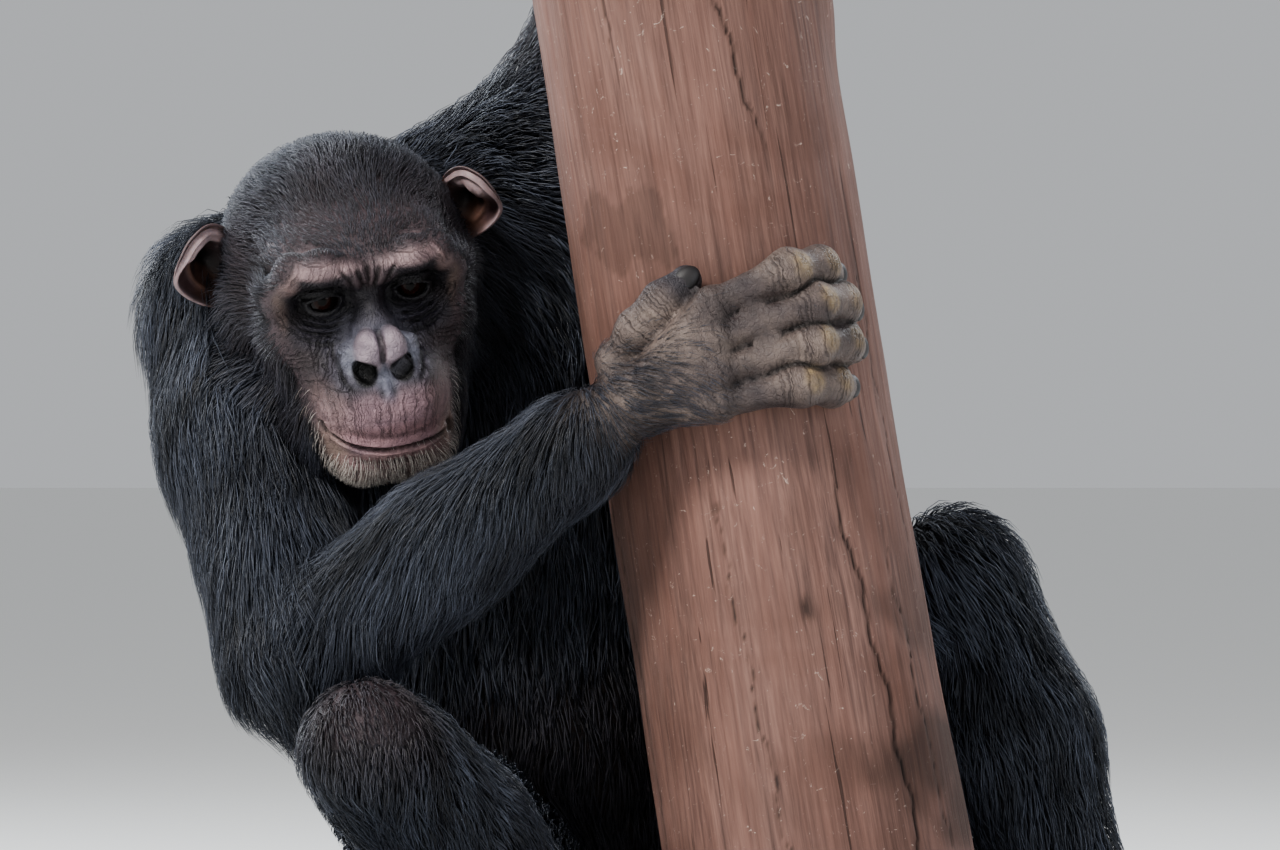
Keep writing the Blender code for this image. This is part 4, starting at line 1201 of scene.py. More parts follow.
def hair_colour(roots, normals, weights, rng):
    """Linear colour of each tuft: black to a painted blue-grey sheen in streaks, browner on crown, belly and knee, and
    darkened with painted shade beside the bare face.
    """
    sheen_streak = wander(roots * np.array((1.0, 1.0, 0.45)), 0.030, 51)
    tone = (0.45 * rng.uniform(0.0, 1.0, len(roots)) + 0.55 * sheen_streak) ** 1.9
    colour = HAIR_DARK + (PAINTED_HAIR_SHEEN - HAIR_DARK) * tone[:, None]
    local = head_local(roots)
    crown = (weights["crown"] + weights["face"]) * smooth_step(-local[:, 1], -0.03, 0.05)
    crown = crown * (0.35 + 0.65 * wander(roots, 0.05, 52))
    knee = near_knee(roots)
    brown = 0.85 * crown + 0.5 * weights["belly"] + 0.35 * weights["upper_arm_left"] + 0.7 * knee
    brown = brown + 0.35 * weights["hand"]
    colour += (HAIR_BROWN * (0.35 + 0.9 * tone[:, None]) - colour) * np.clip(brown, 0.0, 0.9)[:, None]
    beside_face = bare_face(local) * np.clip(weights["face"] + weights["crown"] + weights["cheek"], 0.0, 1.0)
    # Tufts at the edge of the bare face are darkened nearly to black: painted shade.
    return colour * (1.0 - 0.9 * smooth_step(beside_face, 0.0, 0.20))[:, None]


def skin_samples(mesh):
    """Triangles of the skin: their corners and areas."""
    mesh.calc_loop_triangles()
    index = np.empty(len(mesh.loop_triangles) * 3, np.int32)
    mesh.loop_triangles.foreach_get("vertices", index)
    corners = read_points(mesh)[index.reshape(-1, 3)]
    area = 0.5 * length_of(np.cross(corners[:, 1] - corners[:, 0], corners[:, 2] - corners[:, 0]))
    return corners, area


def build_coat(settings):
    skin = bpy.data.objects["skin"]
    corners, area = skin_samples(skin.data)
    centres = corners.mean(axis=1)
    weights, _ = region_weights(centres)
    rng = np.random.default_rng(settings.seed)
    local = head_local(centres)
    bare = bare_face(local)
    on_skull = weights["crown"] + weights["cheek"] + weights["face"] + weights["chin"]
    black = coat_material("black_hair")
    pale = coat_material("pale_hair")
    slope = measure(centres, BODY)[1]
    facing = smooth_step(-slope[:, 1], -0.4, 0.5)
    near_wrist = smooth_step(-length_of(centres - WRIST_RIGHT), -0.075, -0.035)
    near_wrist = np.maximum(near_wrist, smooth_step(-length_of(centres - WRIST_LEFT), -0.075, -0.035))
    for name, regions in COAT_GROUPS.items():
        share = sum(weights[region] for region in regions)
        density = sum(weights[region] * HAIR[region][3] for region in regions) * 1e4
        density = density * (0.50 + 0.62 * facing)
        if name in ("coat_head", "coat_neck"):
            density = density * (1.0 - bare * np.clip(on_skull, 0.0, 1.0))
        if name == "coat_face":
            density = face_density(local, bare, weights)
        if name == "coat_hands_feet":
            density = density * np.where(centres[:, 2] > 0.15, 0.04 + near_wrist, 1.0)
        expected = area * density * settings.fullness
        expected = np.where(share > 0.02, expected, 0.0)
        count = int(expected.sum())
        if count == 0:
            continue
        chosen = np.searchsorted(np.cumsum(expected) / expected.sum(), rng.uniform(0.0, 1.0, count))
        first = np.sqrt(rng.uniform(0.0, 1.0, count))
        second = rng.uniform(0.0, 1.0, count)
        mix = np.stack((1.0 - first, first * (1.0 - second), first * second), axis=1)
        roots = (corners[chosen] * mix[:, :, None]).sum(axis=1)
        build_coat_pieces(name, roots, rng, pale if name == "coat_face" else black)


def face_density(local, bare, weights):
    """Sparse pale hairs on chin and lips, a rim of them round the face, fewest on the nose."""
    z = local[:, 2] / MM
    y = local[:, 1] / MM
    chin = smooth_step(-z, 84.0, 96.0) * smooth_step(-y, 72.0, 92.0) * 42.0
    rim = bare * (1.0 - bare) * 4.0 * smooth_step(-z, 45.0, 75.0) * 12.0
    return (chin * bare + rim) * 1e4 * (weights["face"] + weights["chin"] + weights["cheek"])


def build_coat_pieces(name, roots, rng, material):
    weights, lies = region_weights(roots)
    slope = measure(roots, BODY)[1]
    normals = unit(slope)
    flow = hair_lie(roots, normals, weights, lies)
    pale_tone = rng.uniform(0.0, 1.0, len(roots))[:, None]
    colour = (HAIR_PALE[0] + (HAIR_PALE[1] - HAIR_PALE[0]) * pale_tone if name == "coat_face"
              else hair_colour(roots, normals, weights, rng))
    wide = 1.30 - 0.35 * smooth_step(-normals[:, 1], -0.4, 0.5)
    sizes = np.zeros((len(roots), 3))
    for region, (length, depth, width, _) in HAIR.items():
        sizes += weights[region][:, None] * np.array((length, depth, width)) * MM
    length = sizes[:, 0] * rng.uniform(0.7, 1.2, len(roots))
    local = head_local(roots)
    skull = weights["crown"] + weights["face"] + weights["cheek"] + weights["chin"]
    edge = 1.0 - 0.82 * smooth_step(bare_face(local), 0.0, 0.4) * np.clip(skull, 0.0, 1.0)
    fringe = 1.0 - 0.72 * np.clip(skull, 0.0, 1.0) * smooth_step(-local[:, 1], 0.02, 0.08) \
        * smooth_step(local[:, 2], 0.005, 0.022)
    if name == "coat_face":
        length = FACE_HAIR[0] * rng.uniform(0.6, 1.3, len(roots))
        sizes[:, 1:] = FACE_HAIR[1:]
    else:
        length = length * edge * fringe
        flat = 1.0 - 0.5 * np.clip(skull, 0.0, 1.0) * smooth_step(-local[:, 1], 0.030, 0.065)
        sizes[:, 1] *= edge * fringe * flat
        sizes[:, 2] *= 0.30 + 0.70 * edge
    knee_cap = near_knee(roots)
    length = length * (1.0 - 0.62 * knee_cap)
    sizes[:, 1] *= 1.0 - 0.60 * knee_cap
    chart = skin_chart(roots)
    pieces = math.ceil(len(roots) / MOST_TUFTS)
    for number in range(pieces):
        part = slice(number, None, pieces)
        label = name if pieces == 1 else f"{name}_{number + 1}"
        mesh = tuft_mesh(label, roots[part], normals[part], flow[part], length[part], sizes[part, 1],
                         (sizes[:, 2] * wide)[part], chart[part], colour[part], rng)
        item = new_object(label, mesh)
        mesh.materials.append(material)
        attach(item, "root")


# Eyes

def eye_material():
    """A wet dark eye: deep brown white, red-brown iris, black pupil, under a clear shine."""
    material, tree, shader = new_material("wet_eye", {"Roughness": 0.05, "IOR": 1.22})
    tint = add(tree, "ShaderNodeVertexColor", {"layer_name": "Tint"}).outputs[0]
    place = add(tree, "ShaderNodeTexCoord").outputs["Object"]
    fibre = ramp(tree, noise(tree, place, 0.0012, 3.0), 0.3, 0.7, 0.7, 1.2)
    node = add(tree, "ShaderNodeVectorMath", {"operation": "SCALE"}, {0: tint, "Scale": fibre})
    tree.links.new(node.outputs[0], shader.inputs["Base Color"])
    return material


def build_eyes():
    material = eye_material()
    for name, side in (("right", -1), ("left", 1)):
        shape = bmesh.new()
        bmesh.ops.create_uvsphere(shape, u_segments=48, v_segments=32, radius=1.0,
                                  matrix=Matrix.Rotation(math.radians(90.0), 4, "X"))
        mesh = mesh_from(shape, "eye_ball_" + name)
        local = read_points(mesh)
        reach = np.hypot(local[:, 0], local[:, 2])
        front = local[:, 1] < 0.0
        bulge = np.where(front, 0.075 * np.clip(1.0 - (reach / 0.58) ** 2, 0.0, 1.0), 0.0)
        colour = np.tile(np.array(linear("0c0808")), (len(local), 1))
        iris = front * smooth_step(-reach, -0.56, -0.50)
        colour += (np.array(linear("1f0f0c")) - colour) * iris[:, None]
        ring = front * smooth_step(-reach, -0.62, -0.54) * smooth_step(reach, 0.46, 0.52)
        colour += (np.array(linear("080506")) - colour) * ring[:, None]
        pupil = front * smooth_step(-reach, -0.24, -0.20)
        colour += (np.array(linear("020202")) - colour) * pupil[:, None]
        gaze = np.array(Matrix.Rotation(math.radians(-9.0), 3, "Z") @ Matrix.Rotation(math.radians(-12.0), 3, "X"))
        centre = on_head(side * EYE_CENTRE[0] / MM, EYE_CENTRE[1] / MM, 0.0)
        points = centre + ((local * (1.0 + bulge)[:, None] * EYE_RADIUS) @ gaze.T) @ HEAD_TURN.T
        write_points(mesh, points)
        write_colour(mesh, "Tint", colour)
        mesh.materials.append(material)
        item = new_object("eye_ball_" + name, mesh)
        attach(item, "root")
        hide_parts("eye_" + name)


# Ears

# Each ear: its side, height over the ear axis, size, swing back in degrees and breadth of the upper fold
EARS = (("right", -1, -3.0, 1.0, 24.0, 0.24), ("left", 1, 9.0, 0.88, 34.0, 0.40))
EAR_OUT = 85.0
EAR_BACK = 10.0
EAR_TALL = 31.0
EAR_WIDE = 24.0


def ear_material():
    """Thin bare skin of the ear: pinkish brown, smooth, with painted shade in its hollow."""
    material, tree, shader = new_material("ear_skin", {"Roughness": 0.5, "IOR": 1.42,
                                                       "Subsurface Weight": 0.12,
                                                       "Subsurface Radius": (0.004, 0.002, 0.001)})
    tint = add(tree, "ShaderNodeVertexColor", {"layer_name": "Tint"}).outputs[0]
    place = add(tree, "ShaderNodeTexCoord").outputs["Object"]
    blotch = noise(tree, place, 0.005, 4.0)
    toned = mixed(tree, 1.0, tint, mixed(tree, ramp(tree, blotch, 0.35, 0.7), (0.8, 0.8, 0.8), (1.1, 1.1, 1.1)),
                  "MULTIPLY")
    tree.links.new(toned, shader.inputs["Base Color"])
    tree.links.new(bump(tree, noise(tree, place, 0.0016, 5.0), 0.0004, 0.6), shader.inputs["Normal"])
    return material


def build_ears():
    material = ear_material()
    for name, side, height, size, swing, fold in EARS:
        shape = bmesh.new()
        bmesh.ops.create_uvsphere(shape, u_segments=72, v_segments=48, radius=1.0,
                                  matrix=Matrix.Rotation(math.radians(90.0), 4, "X"))
        mesh = mesh_from(shape, "ear_shell_" + name)
        disc = read_points(mesh)
        out, back, up = disc[:, 0], disc[:, 1], disc[:, 2]
        edge = np.hypot(out, up)
        angle = np.arctan2(up, out)
        rim = np.exp(-((edge - 0.93) / 0.10) ** 2)
        top = smooth_step(np.sin(angle), -0.1, 0.8)
        outer = smooth_step(np.cos(angle), -0.5, 0.3)
        lobe = smooth_step(-np.sin(angle), 0.5, 1.0)
        bowl = np.exp(-(((out + 0.30) / 0.42) ** 2 + ((up + 0.15) / 0.50) ** 2))
        ridge_gap = np.abs(np.hypot((out + 0.25) / 0.85, (up + 0.05) / 0.85) - 0.72)
        ridge = np.exp(-(ridge_gap / 0.10) ** 2) * smooth_step(out, -0.3, 0.1)
        rim = np.maximum(rim, np.exp(-((edge - 1.04 + fold) / fold) ** 2) * top)
        thick = 1.7 + 0.9 * rim
        cup = 5.0 * edge ** 2 + 4.0 * rim * outer + 8.0 * rim * top - 10.0 * bowl + 2.4 * ridge
        forward = -cup + back * thick
        pull = 1.0 - 0.20 * rim * top * (back < 0.2)
        narrow = 1.0 - 0.42 * np.clip(-up, 0.0, 1.0) ** 1.5 + 0.06 * top
        lean = -4.0 * np.clip(-up, 0.0, 1.0) ** 1.5
        local = np.stack((out * EAR_WIDE * narrow * pull + lean, forward, up * EAR_TALL * pull), axis=1) * size
        local[:, 0] = (local[:, 0] + 2.0) * side
        turn = np.array(
            Matrix.Rotation(math.radians(-swing * side), 3, "Z") @ Matrix.Rotation(math.radians(9.0 * side), 3, "Y")
            @ Matrix.Rotation(math.radians(4.0), 3, "X")
        )
        local = local @ turn.T + np.array((EAR_OUT * side, EAR_BACK, height))
        write_points(mesh, HEAD_PLACE + (local * MM) @ HEAD_TURN.T)
        if side < 0:
            mesh.flip_normals()
        colour = np.tile(np.array(linear("4a3839")), (len(disc), 1))
        # Painted shadow under the ear's upper fold.
        painted_fold_shadow = np.exp(-((edge - 1.04 + 1.9 * fold) / 0.12) ** 2) * top
        # The near-black of the bowl is painted shade in the ear's hollow.
        for share, code in ((bowl * 1.2, "140d0f"), (ridge * 0.6, "75594e"), (rim * 0.95, "a38f91"),
                            (lobe * 0.6, "75574b"), (painted_fold_shadow, "100a0c"), ((back > 0.2) * 0.7, "453a3b")):
            colour += (np.array(linear(code)) - colour) * np.clip(share, 0.0, 1.0)[:, None]
        write_colour(mesh, "Tint", colour)
        mesh.materials.append(material)
        item = new_object("ear_shell_" + name, mesh)
        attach(item, "root")
        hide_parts("ear_" + name)


# Nails

def nail_material():
    """Horny nail: dark grey-brown, smooth, with a faint fine bump."""
    material, tree, shader = new_material("dark_nail", {"Roughness": 0.52, "IOR": 1.48})
    place = add(tree, "ShaderNodeTexCoord").outputs["Object"]
    shade = mixed(tree, noise(tree, place, 0.003, 3.0), linear("131216"), linear("2a2626"))
    tree.links.new(shade, shader.inputs["Base Color"])
    tree.links.new(bump(tree, noise(tree, place, 0.0008, 2.0), 0.0002, 0.5), shader.inputs["Normal"])
    return material


def add_nail(shape, joint, tip, radius, outward):
    """A curved plate on the back of a digit's last length."""
    run = unit((tip - joint)[None])[0]
    outward = unit((outward - run * (outward @ run))[None])[0]
    across = np.cross(run, outward)
    centre = tip - run * radius * 0.05 + outward * radius * 0.62
    turn = Matrix(np.stack((across, run, outward), axis=1).tolist()).to_4x4()
    place = Matrix.Translation(Vector(centre)) @ turn
    place = place @ Matrix.Diagonal((radius * 0.76, radius * 1.05, radius * 0.40, 1.0))
    bmesh.ops.create_uvsphere(shape, u_segments=20, v_segments=12, radius=1.0, matrix=place)


def build_nails():
    material = nail_material()
    groups = {}
    for name, grip in (("nails_hand_right", GRIP_RIGHT), ("nails_hand_left", GRIP_LEFT)):
        plates = []
        for digit in grip:
            joints, radii = digit_chain(grip, digit)
            rise = (joints[3] - TRUNK_MID) @ TRUNK_UP
            plates.append((joints[2], joints[3], radii[3], joints[3] - TRUNK_MID - TRUNK_UP * rise))
        groups[name] = plates
    for name, ball, inward in (("nails_foot_right", BALL_RIGHT, 1), ("nails_foot_left", BALL_LEFT, -1)):
        groups[name] = [(points[1], points[2], radii[2], -DOWN) for points, radii in toe_chains(ball, inward)]
    for name, plates in groups.items():
        shape = bmesh.new()
        for joint, tip, radius, outward in plates:
            add_nail(shape, joint, tip, radius, outward)
        mesh = mesh_from(shape, name)
        mesh.materials.append(material)
        item = new_object(name, mesh)
        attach(item, "root")


# Trunk

def sawn_end(tree):
    """One on the trunk's two sawn ends, none on its side."""
    normal = add(tree, "ShaderNodeNewGeometry").outputs["Normal"]
    facing = add(tree, "ShaderNodeVectorMath", {"operation": "DOT_PRODUCT", 1: tuple(TRUNK_UP)}, {0: normal})
    upright = add(tree, "ShaderNodeMath", {"operation": "ABSOLUTE"}, {0: facing.outputs["Value"]}).outputs[0]
    return ramp(tree, upright, 0.70, 0.90)


def year_rings(tree, place, lean):
    """Rings of growth about 3.5 mm apart round the trunk's axis."""
    turn = Matrix.Rotation(-lean, 3, "Y")
    centred = add(tree, "ShaderNodeMapping", {"Rotation": (0.0, -lean, 0.0),
                                              "Location": -(turn @ Vector(TRUNK_MID))}, {"Vector": place})
    rings = add(tree, "ShaderNodeTexWave", {"wave_type": "RINGS", "rings_direction": "Z",
                                            "Scale": math.pi / 10.0 / 0.0035, "Distortion": 3.0,
                                            "Detail": 3.0, "Detail Scale": 0.4}, {"Vector": centred.outputs[0]})
    return mixed(tree, rings.outputs["Fac"], linear("6e5140"), linear("a08670"))


def wood_material():
    """Barkless, weathered hardwood: pinkish brown, dry and matt, with long grain and pale scuffs."""
    material, tree, shader = new_material("weathered_wood", {"Roughness": 0.7, "IOR": 1.45})
    place = add(tree, "ShaderNodeTexCoord").outputs["Object"]
    lean = math.atan(TRUNK_LEAN)
    upright = add(tree, "ShaderNodeMapping", {"Rotation": (0.0, -lean, 0.0)}, {"Vector": place}).outputs[0]
    long_grain = add(tree, "ShaderNodeMapping", {"Scale": (1.0, 1.0, 0.045)}, {"Vector": upright}).outputs[0]
    fibre = noise(tree, long_grain, 0.0026, 6.0, 0.4, 0.6)
    band = noise(tree, long_grain, 0.016, 4.0, 0.8)
    cloud = noise(tree, upright, 0.11, 4.0, 0.6)
    base = mixed(tree, ramp(tree, fibre, 0.30, 0.74), linear("4f3a35"), linear("87685e"))
    base = mixed(tree, ramp(tree, band, 0.38, 0.68, 0.0, 0.55), base, linear("75544a"))
    base = mixed(tree, ramp(tree, cloud, 0.45, 0.72, 0.0, 0.55), base, linear("563a31"))
    split = noise(tree, add(tree, "ShaderNodeMapping", {"Scale": (1.0, 1.0, 0.016)}, {"Vector": upright}).outputs[0],
                  0.0048, 3.0, 0.25)
    hairline = ramp(tree, split, 0.335, 0.30)
    # Thin dark cracks along the grain: painted shade in them.
    base = mixed(tree, ramp(tree, hairline, 0.0, 1.0, 0.0, 0.75), base, linear("2c1a15"))
    fleck = noise(tree, upright, 0.0080, 6.0, 1.8, 0.72)
    base = mixed(tree, ramp(tree, fleck, 0.635, 0.69, 0.0, 0.8), base, linear("b8a79d"))
    # The trunk's Tint brings in painted shade in the cracks and low on the right side, and a painted shadow, besides
    # the knots and a random tone.
    tint = add(tree, "ShaderNodeVertexColor", {"layer_name": "Tint"}).outputs[0]
    base = mixed(tree, 1.0, base, tint, "MULTIPLY")
    base = mixed(tree, sawn_end(tree), base, year_rings(tree, place, lean))
    tree.links.new(base, shader.inputs["Base Color"])
    ground = bump(tree, band, 0.0016, 0.5)
    ground = bump(tree, ramp(tree, hairline, 0.0, 1.0, 1.0, 0.0), 0.0014, 0.8, ground)
    rough = bump(tree, fibre, 0.0010, 0.85, ground)
    tree.links.new(rough, shader.inputs["Normal"])
    tree.links.new(ramp(tree, cloud, 0.3, 0.7, 0.62, 0.80), shader.inputs["Roughness"])
    return material


# Drying cracks: angle from the front in degrees and place along the trunk for each point, width, depth
CRACKS = (
    (((-10, 0.56), (2, 0.40), (9, 0.29), (18, 0.21), (26, 0.14)), 0.9, 5.0),
    (((8, 0.50), (14, 0.38), (20, 0.28)), 0.6, 2.6),
    (((-42, 0.40), (-34, 0.28), (-28, 0.20)), 0.6, 2.4),
    (((28, -0.02), (33, -0.10), (38, -0.18), (40, -0.26), (46, -0.33)), 1.1, 5.0),
    (((-20, -0.02), (-16, -0.12), (-12, -0.22), (-6, -0.33)), 0.5, 1.8),
    (((62, 0.10), (66, -0.04), (70, -0.16)), 0.6, 2.4),
    (((50, -0.06), (54, -0.18), (60, -0.30)), 0.6, 2.2),
    (((120, 0.50), (128, 0.20), (132, 0.0)), 1.0, 4.5),
    (((170, 0.30), (176, 0.05), (172, -0.25)), 0.8, 3.5),
    (((-120, 0.40), (-112, 0.15), (-108, -0.10)), 0.9, 4.0),
    (((-80, 0.05), (-76, -0.12), (-70, -0.30)), 0.6, 2.4),
)
KNOTS = ((10.0, -0.112, 3.2, 7.5, 5.0), (-18.0, -0.045, 1.8, 3.2, 2.2), (140.0, 0.25, 7.0, 11.0, 5.0))


def build_trunk(settings):
    length = TRUNK_BELOW + TRUNK_ABOVE
    around, rows = 288, 300
    shape = bmesh.new()
    ring = bmesh.ops.create_circle(shape, cap_ends=False, segments=around, radius=1.0)["verts"]
    edges = list({edge for vertex in ring for edge in vertex.link_edges})
    for _ in range(rows):
        grown = bmesh.ops.extrude_edge_only(shape, edges=edges)["geom"]
        verts = [piece for piece in grown if isinstance(piece, bmesh.types.BMVert)]
        edges = [piece for piece in grown if isinstance(piece, bmesh.types.BMEdge)]
        bmesh.ops.translate(shape, verts=verts, vec=(0.0, 0.0, 1.0 / rows))
    rim = [edge for edge in shape.edges if edge.is_boundary]
    bmesh.ops.holes_fill(shape, edges=rim, sides=0)
    caps = [face for face in shape.faces if len(face.verts) > 4]
    inner = bmesh.ops.inset_individual(shape, faces=caps, thickness=0.03)
    bmesh.ops.poke(shape, faces=caps)
    bmesh.ops.recalc_face_normals(shape, faces=shape.faces)
    mesh = mesh_from(shape, "trunk_wood")
    local = read_points(mesh)
    rise = local[:, 2] * length - TRUNK_BELOW
    spoke = np.hypot(local[:, 0], local[:, 1])
    angle = np.degrees(np.arctan2(local[:, 0], -local[:, 1]))
    shell = np.stack((local[:, 0] * 0.09, local[:, 1] * 0.09, rise), axis=1)
    swell = 0.0026 * (wander(shell * np.array((1.0, 1.0, 0.35)), 0.16, 11) - 0.5) * 2.0
    swell += 0.0006 * (wander(shell * np.array((1.0, 1.0, 0.12)), 0.020, 12) - 0.5) * 2.0
    side_bulge = np.exp(-((rise - 0.245) / 0.03) ** 2 - ((angle - 88.0) / 22.0) ** 2)
    swell += 0.004 * side_bulge
    tint = np.ones(len(local))
    for points, width, depth in CRACKS:
        knots = sorted(points, key=lambda pair: pair[1])
        heights = [pair[1] for pair in knots]
        centre = np.interp(rise, heights, [pair[0] for pair in knots])
        centre = centre + 1.2 * np.sin(rise * 95.0 + depth) + 0.5 * np.sin(rise * 290.0)
        gap = np.abs((angle - centre + 180.0) % 360.0 - 180.0) * math.radians(1.0) * 87.0
        ends = smooth_step(rise, heights[0] - 0.01, heights[0] + 0.06) * smooth_step(-rise, -heights[-1] - 0.01,
                                                                                    -heights[-1] + 0.06)
        valley = np.exp(-(gap / width) ** 2) * ends
        swell -= depth * 0.45 * MM * valley
        # Painted shade in each crack.
        tint *= 1.0 - 0.80 * np.exp(-(gap / (width * 1.1)) ** 2) * ends
    for centre, place, width, height, depth in KNOTS:
        reach = np.hypot((angle - centre) * math.radians(1.0) * 87.0 / width, (rise - place) / MM / height)
        swell -= depth * 0.4 * MM * np.exp(-reach ** 2)
        tint *= 1.0 - 0.75 * np.exp(-(reach / 0.9) ** 2)
    # Darker toward the bottom and much more on the right side, in blotches: painted shade.
    low = smooth_step(-rise, 0.02, 0.20)
    right = smooth_step(angle, 5.0, 40.0) * smooth_step(-angle, -150.0, -90.0)
    tint *= 1.0 - low * (0.16 + 0.42 * right) * smooth_step(wander(shell, 0.09, 14), 0.25, 0.65)
    # A ragged darker patch on the trunk's front, above the right hand: a painted cast shadow.
    ragged = 0.9 * (wander(shell, 0.03, 16) - 0.5)
    painted_shadow = smooth_step(ragged - np.hypot((angle + 40.0) / 24.0, (rise - 0.125) / 0.024), -1.12, -0.95)
    tint *= 1.0 - 0.26 * painted_shadow
    tint *= 0.86 + 0.28 * wander(shell * np.array((1.0, 1.0, 0.3)), 0.05, 15)
    rounding = 0.003 * (smooth_step(-rise, TRUNK_BELOW - 0.004, TRUNK_BELOW)
                        + smooth_step(rise, TRUNK_ABOVE - 0.004, TRUNK_ABOVE))
    radius = (trunk_radius(rise) + (swell - rounding) * smooth_step(spoke, 0.9, 1.0)) * spoke
    turn = np.radians(angle)
    outward = TRUNK_FRONT * np.cos(turn)[:, None] + TRUNK_SIDE * np.sin(turn)[:, None]
    write_points(mesh, TRUNK_MID + TRUNK_UP * rise[:, None] + outward * radius[:, None])
    red = np.stack((tint, tint ** 1.05, tint ** 1.1), axis=1)
    write_colour(mesh, "Tint", red)
    mesh.materials.append(wood_material())
    item = new_object("trunk_wood", mesh)
    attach(item, "root")
    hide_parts("perch_trunk")


# Stand: the solids' own shapes with better surfaces

def build_stand(settings):
    """Satin grey powder coat on the base, with a fine orange-peel; brushed steel rods."""
    paint, tree, shader = new_material("powder_coat", {"Roughness": 0.42, "IOR": 1.5})
    place = add(tree, "ShaderNodeTexCoord").outputs["Object"]
    peel = noise(tree, place, 0.0016, 2.0)
    shade = mixed(tree, ramp(tree, noise(tree, place, 0.12, 3.0), 0.35, 0.7), linear("3a3b3e"), linear("434447"))
    tree.links.new(shade, shader.inputs["Base Color"])
    tree.links.new(bump(tree, peel, 0.0002, 0.35), shader.inputs["Normal"])
    tree.links.new(ramp(tree, peel, 0.3, 0.7, 0.36, 0.48), shader.inputs["Roughness"])
    steel, tree, shader = new_material("brushed_steel", {"Roughness": 0.3, "Metallic": 1.0,
                                                         "Base Color": (*linear("a9abae"), 1.0)})
    place = add(tree, "ShaderNodeTexCoord").outputs["Object"]
    rings = add(tree, "ShaderNodeMapping", {"Scale": (0.06, 0.06, 1.0)}, {"Vector": place}).outputs[0]
    scratch = noise(tree, rings, 0.0006, 3.0)
    tree.links.new(ramp(tree, scratch, 0.3, 0.7, 0.22, 0.40), shader.inputs["Roughness"])
    tree.links.new(bump(tree, scratch, 0.0001, 0.4), shader.inputs["Normal"])
    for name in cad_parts:
        if name.startswith("stand_"):
            item = bpy.data.objects[name]
            item.data.materials.clear()
            item.data.materials.append(steel if "rod" in name else paint)


# Stage

CAMERA_PLACE = (0.0, -4.59, 0.42)
FLOOR_REACH = 60.0           # metres, so that no view sees the floor end
CAMERA_LENS = 210.9          # mm on a 36 mm sensor, which gives 0.6 mm for a pixel at the trunk


def area_light(name, place, target, size, power, colour):
    light = bpy.data.lights.new(name, "AREA")
    light.shape = "DISK"
    light.size = size
    light.energy = power
    light.color = colour
    item = bpy.data.objects.new(name, light)
    item.location = place
    item.rotation_euler = (Vector(target) - Vector(place)).to_track_quat("-Z", "Y").to_euler()
    collection().objects.link(item)


def build_stage(settings):
    shape = bmesh.new()
    bmesh.ops.create_grid(shape, x_segments=1, y_segments=1, size=FLOOR_REACH)
    floor = new_object("floor", mesh_from(shape, "floor", False))
    paper, tree, shader = new_material("studio_paper", {"Roughness": 0.9,
                                                        "Base Color": (*settings.floor_colour, 1.0)})
    floor.data.materials.append(paper)
    area_light("key", (-2.2, -2.6, 3.0), (-0.05, 0.0, 0.45), 1.1, 200.0 * settings.light, (1.0, 0.97, 0.93))
    area_light("fill", (2.8, -3.2, 1.6), (0.0, 0.0, 0.4), 2.6, 50.0 * settings.light, (0.90, 0.95, 1.0))
    area_light("rim_left", (-2.4, 1.8, 1.9), (-0.1, 0.1, 0.5), 1.6, 85.0 * settings.light, (0.88, 0.94, 1.0))
    area_light("rim_right", (2.2, 2.0, 2.2), (0.1, 0.1, 0.5), 1.0, 45.0 * settings.light, (0.92, 0.96, 1.0))
    world = bpy.data.worlds.new("studio")
    world.use_nodes = True
    world.node_tree.nodes["Background"].inputs["Color"].default_value = (0.90, 0.92, 0.95, 1.0)
    world.node_tree.nodes["Background"].inputs["Strength"].default_value = 0.48
    bpy.context.scene.world = world
    bpy.context.scene.view_settings.view_transform = "AgX"
    bpy.context.scene.view_settings.look = "AgX - Medium High Contrast"
    camera = bpy.data.cameras.new("camera")
    camera.lens = CAMERA_LENS
    camera.sensor_width = 36.0
    camera.clip_end = 50.0
    item = bpy.data.objects.new("camera", camera)
    item.location = CAMERA_PLACE
    item.rotation_euler = (math.radians(90.0), 0.0, 0.0)
    collection().objects.link(item)
    bpy.context.scene.camera = item


# Add-on classes

class ChimpSkinSettings(bpy.types.PropertyGroup):
    mesh_size: FloatProperty(name="Mesh size", description="Size of the skin's faces under the coat",
                             default=0.0078, min=0.004, unit="LENGTH")


class ChimpCoatSettings(bpy.types.PropertyGroup):
    fullness: FloatProperty(name="Fullness", description="Share of the full number of tufts", default=1.0,
                            min=0.05, max=1.0, subtype="FACTOR")
    seed: IntProperty(name="Seed", description="Seed of the tufts' places", default=7)


class ChimpStageSettings(bpy.types.PropertyGroup):
    light: FloatProperty(name="Light", description="Strength of the studio lights", default=1.0, min=0.0)
    floor_colour: FloatVectorProperty(name="Floor", description="Colour of the studio floor",
                                      default=linear("f3f3f1"), subtype="COLOR")


class CHIMP_OT_skin(bpy.types.Operator):
    """Build the continuous skin"""
    bl_idname = "chimp.skin"
    bl_label = "Skin"

    def execute(self, context):
        build_skin(context.scene.chimp_skin)
        return {"FINISHED"}


class CHIMP_OT_eyes(bpy.types.Operator):
    """Build both eyes"""
    bl_idname = "chimp.eyes"
    bl_label = "Eyes"

    def execute(self, context):
        build_eyes()
        return {"FINISHED"}


class CHIMP_OT_ears(bpy.types.Operator):
    """Build both ears"""
    bl_idname = "chimp.ears"
    bl_label = "Ears"

    def execute(self, context):
        build_ears()
        return {"FINISHED"}


class CHIMP_OT_nails(bpy.types.Operator):
    """Build the nails of hands and feet"""
    bl_idname = "chimp.nails"
    bl_label = "Nails"

    def execute(self, context):
        build_nails()
        return {"FINISHED"}


class CHIMP_OT_coat(bpy.types.Operator):
    """Grow the coat over the skin"""
    bl_idname = "chimp.coat"
    bl_label = "Coat"

    def execute(self, context):
        build_coat(context.scene.chimp_coat)
        return {"FINISHED"}


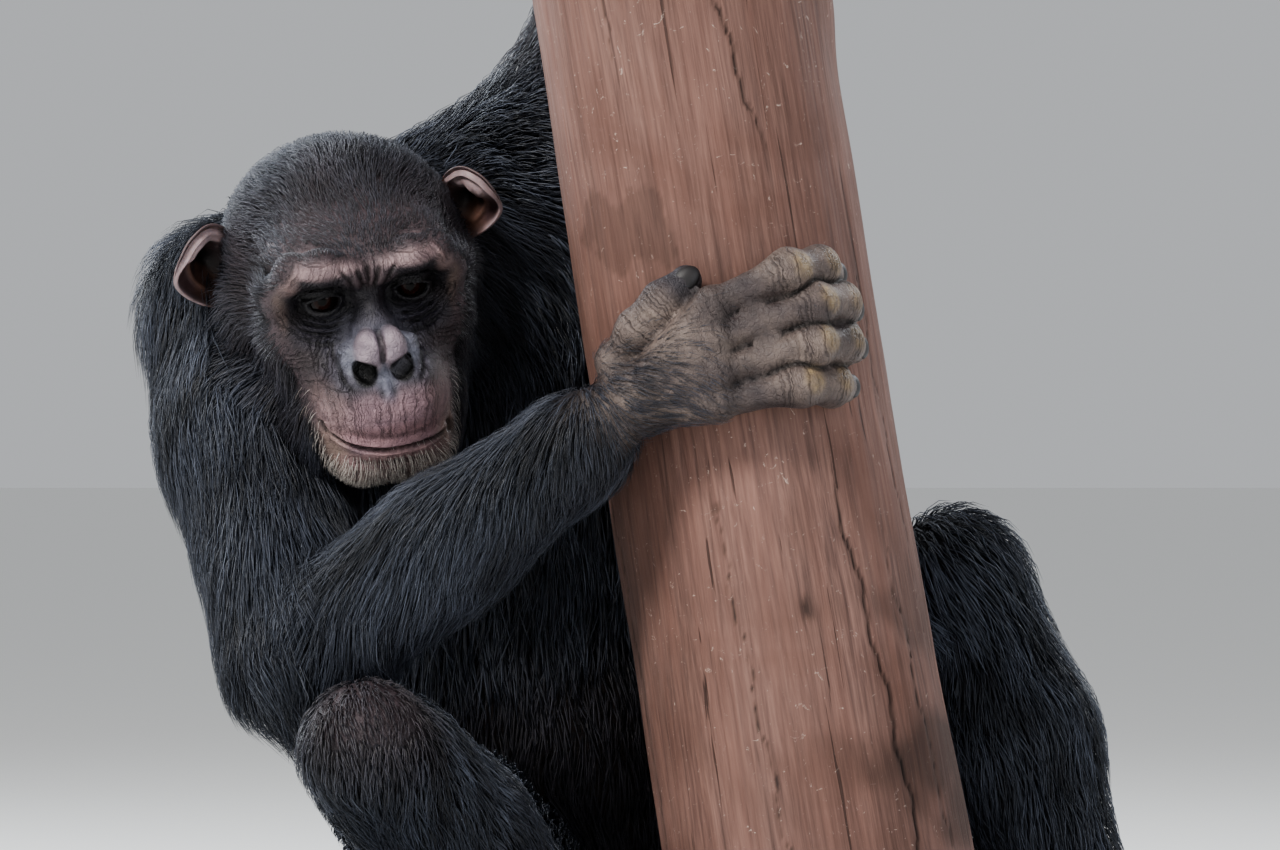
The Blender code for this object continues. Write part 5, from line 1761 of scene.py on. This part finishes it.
class CHIMP_OT_trunk(bpy.types.Operator):
    """Build the cut length of trunk"""
    bl_idname = "chimp.trunk"
    bl_label = "Trunk"

    def execute(self, context):
        build_trunk(context.scene.chimp_stage)
        return {"FINISHED"}


class CHIMP_OT_stand(bpy.types.Operator):
    """Finish the display stand's surfaces"""
    bl_idname = "chimp.stand"
    bl_label = "Stand"

    def execute(self, context):
        build_stand(context.scene.chimp_stage)
        return {"FINISHED"}


class CHIMP_OT_stage(bpy.types.Operator):
    """Build floor, lights and camera"""
    bl_idname = "chimp.stage"
    bl_label = "Stage"

    def execute(self, context):
        build_stage(context.scene.chimp_stage)
        return {"FINISHED"}


OPERATORS = (CHIMP_OT_stage, CHIMP_OT_skin, CHIMP_OT_eyes, CHIMP_OT_ears, CHIMP_OT_nails, CHIMP_OT_coat,
             CHIMP_OT_trunk, CHIMP_OT_stand)


class CHIMP_PT_panel(bpy.types.Panel):
    bl_label = "Chimpanzee"
    bl_idname = "CHIMP_PT_panel"
    bl_space_type = "VIEW_3D"
    bl_region_type = "UI"
    bl_category = "Chimpanzee"

    def draw(self, context):
        for operator in OPERATORS:
            self.layout.operator(operator.bl_idname)


CLASSES = (ChimpSkinSettings, ChimpCoatSettings, ChimpStageSettings, *OPERATORS, CHIMP_PT_panel)


def register():
    for item in CLASSES:
        bpy.utils.register_class(item)
    bpy.types.Scene.chimp_skin = PointerProperty(type=ChimpSkinSettings)
    bpy.types.Scene.chimp_coat = PointerProperty(type=ChimpCoatSettings)
    bpy.types.Scene.chimp_stage = PointerProperty(type=ChimpStageSettings)


def unregister():
    del bpy.types.Scene.chimp_stage
    del bpy.types.Scene.chimp_coat
    del bpy.types.Scene.chimp_skin
    for item in reversed(CLASSES):
        bpy.utils.unregister_class(item)


def main():
    register()
    bpy.ops.chimp.stage()
    bpy.ops.chimp.skin()
    bpy.ops.chimp.eyes()
    bpy.ops.chimp.ears()
    bpy.ops.chimp.nails()
    bpy.ops.chimp.coat()
    bpy.ops.chimp.trunk()
    bpy.ops.chimp.stand()


if __name__ == "__main__":
    main()
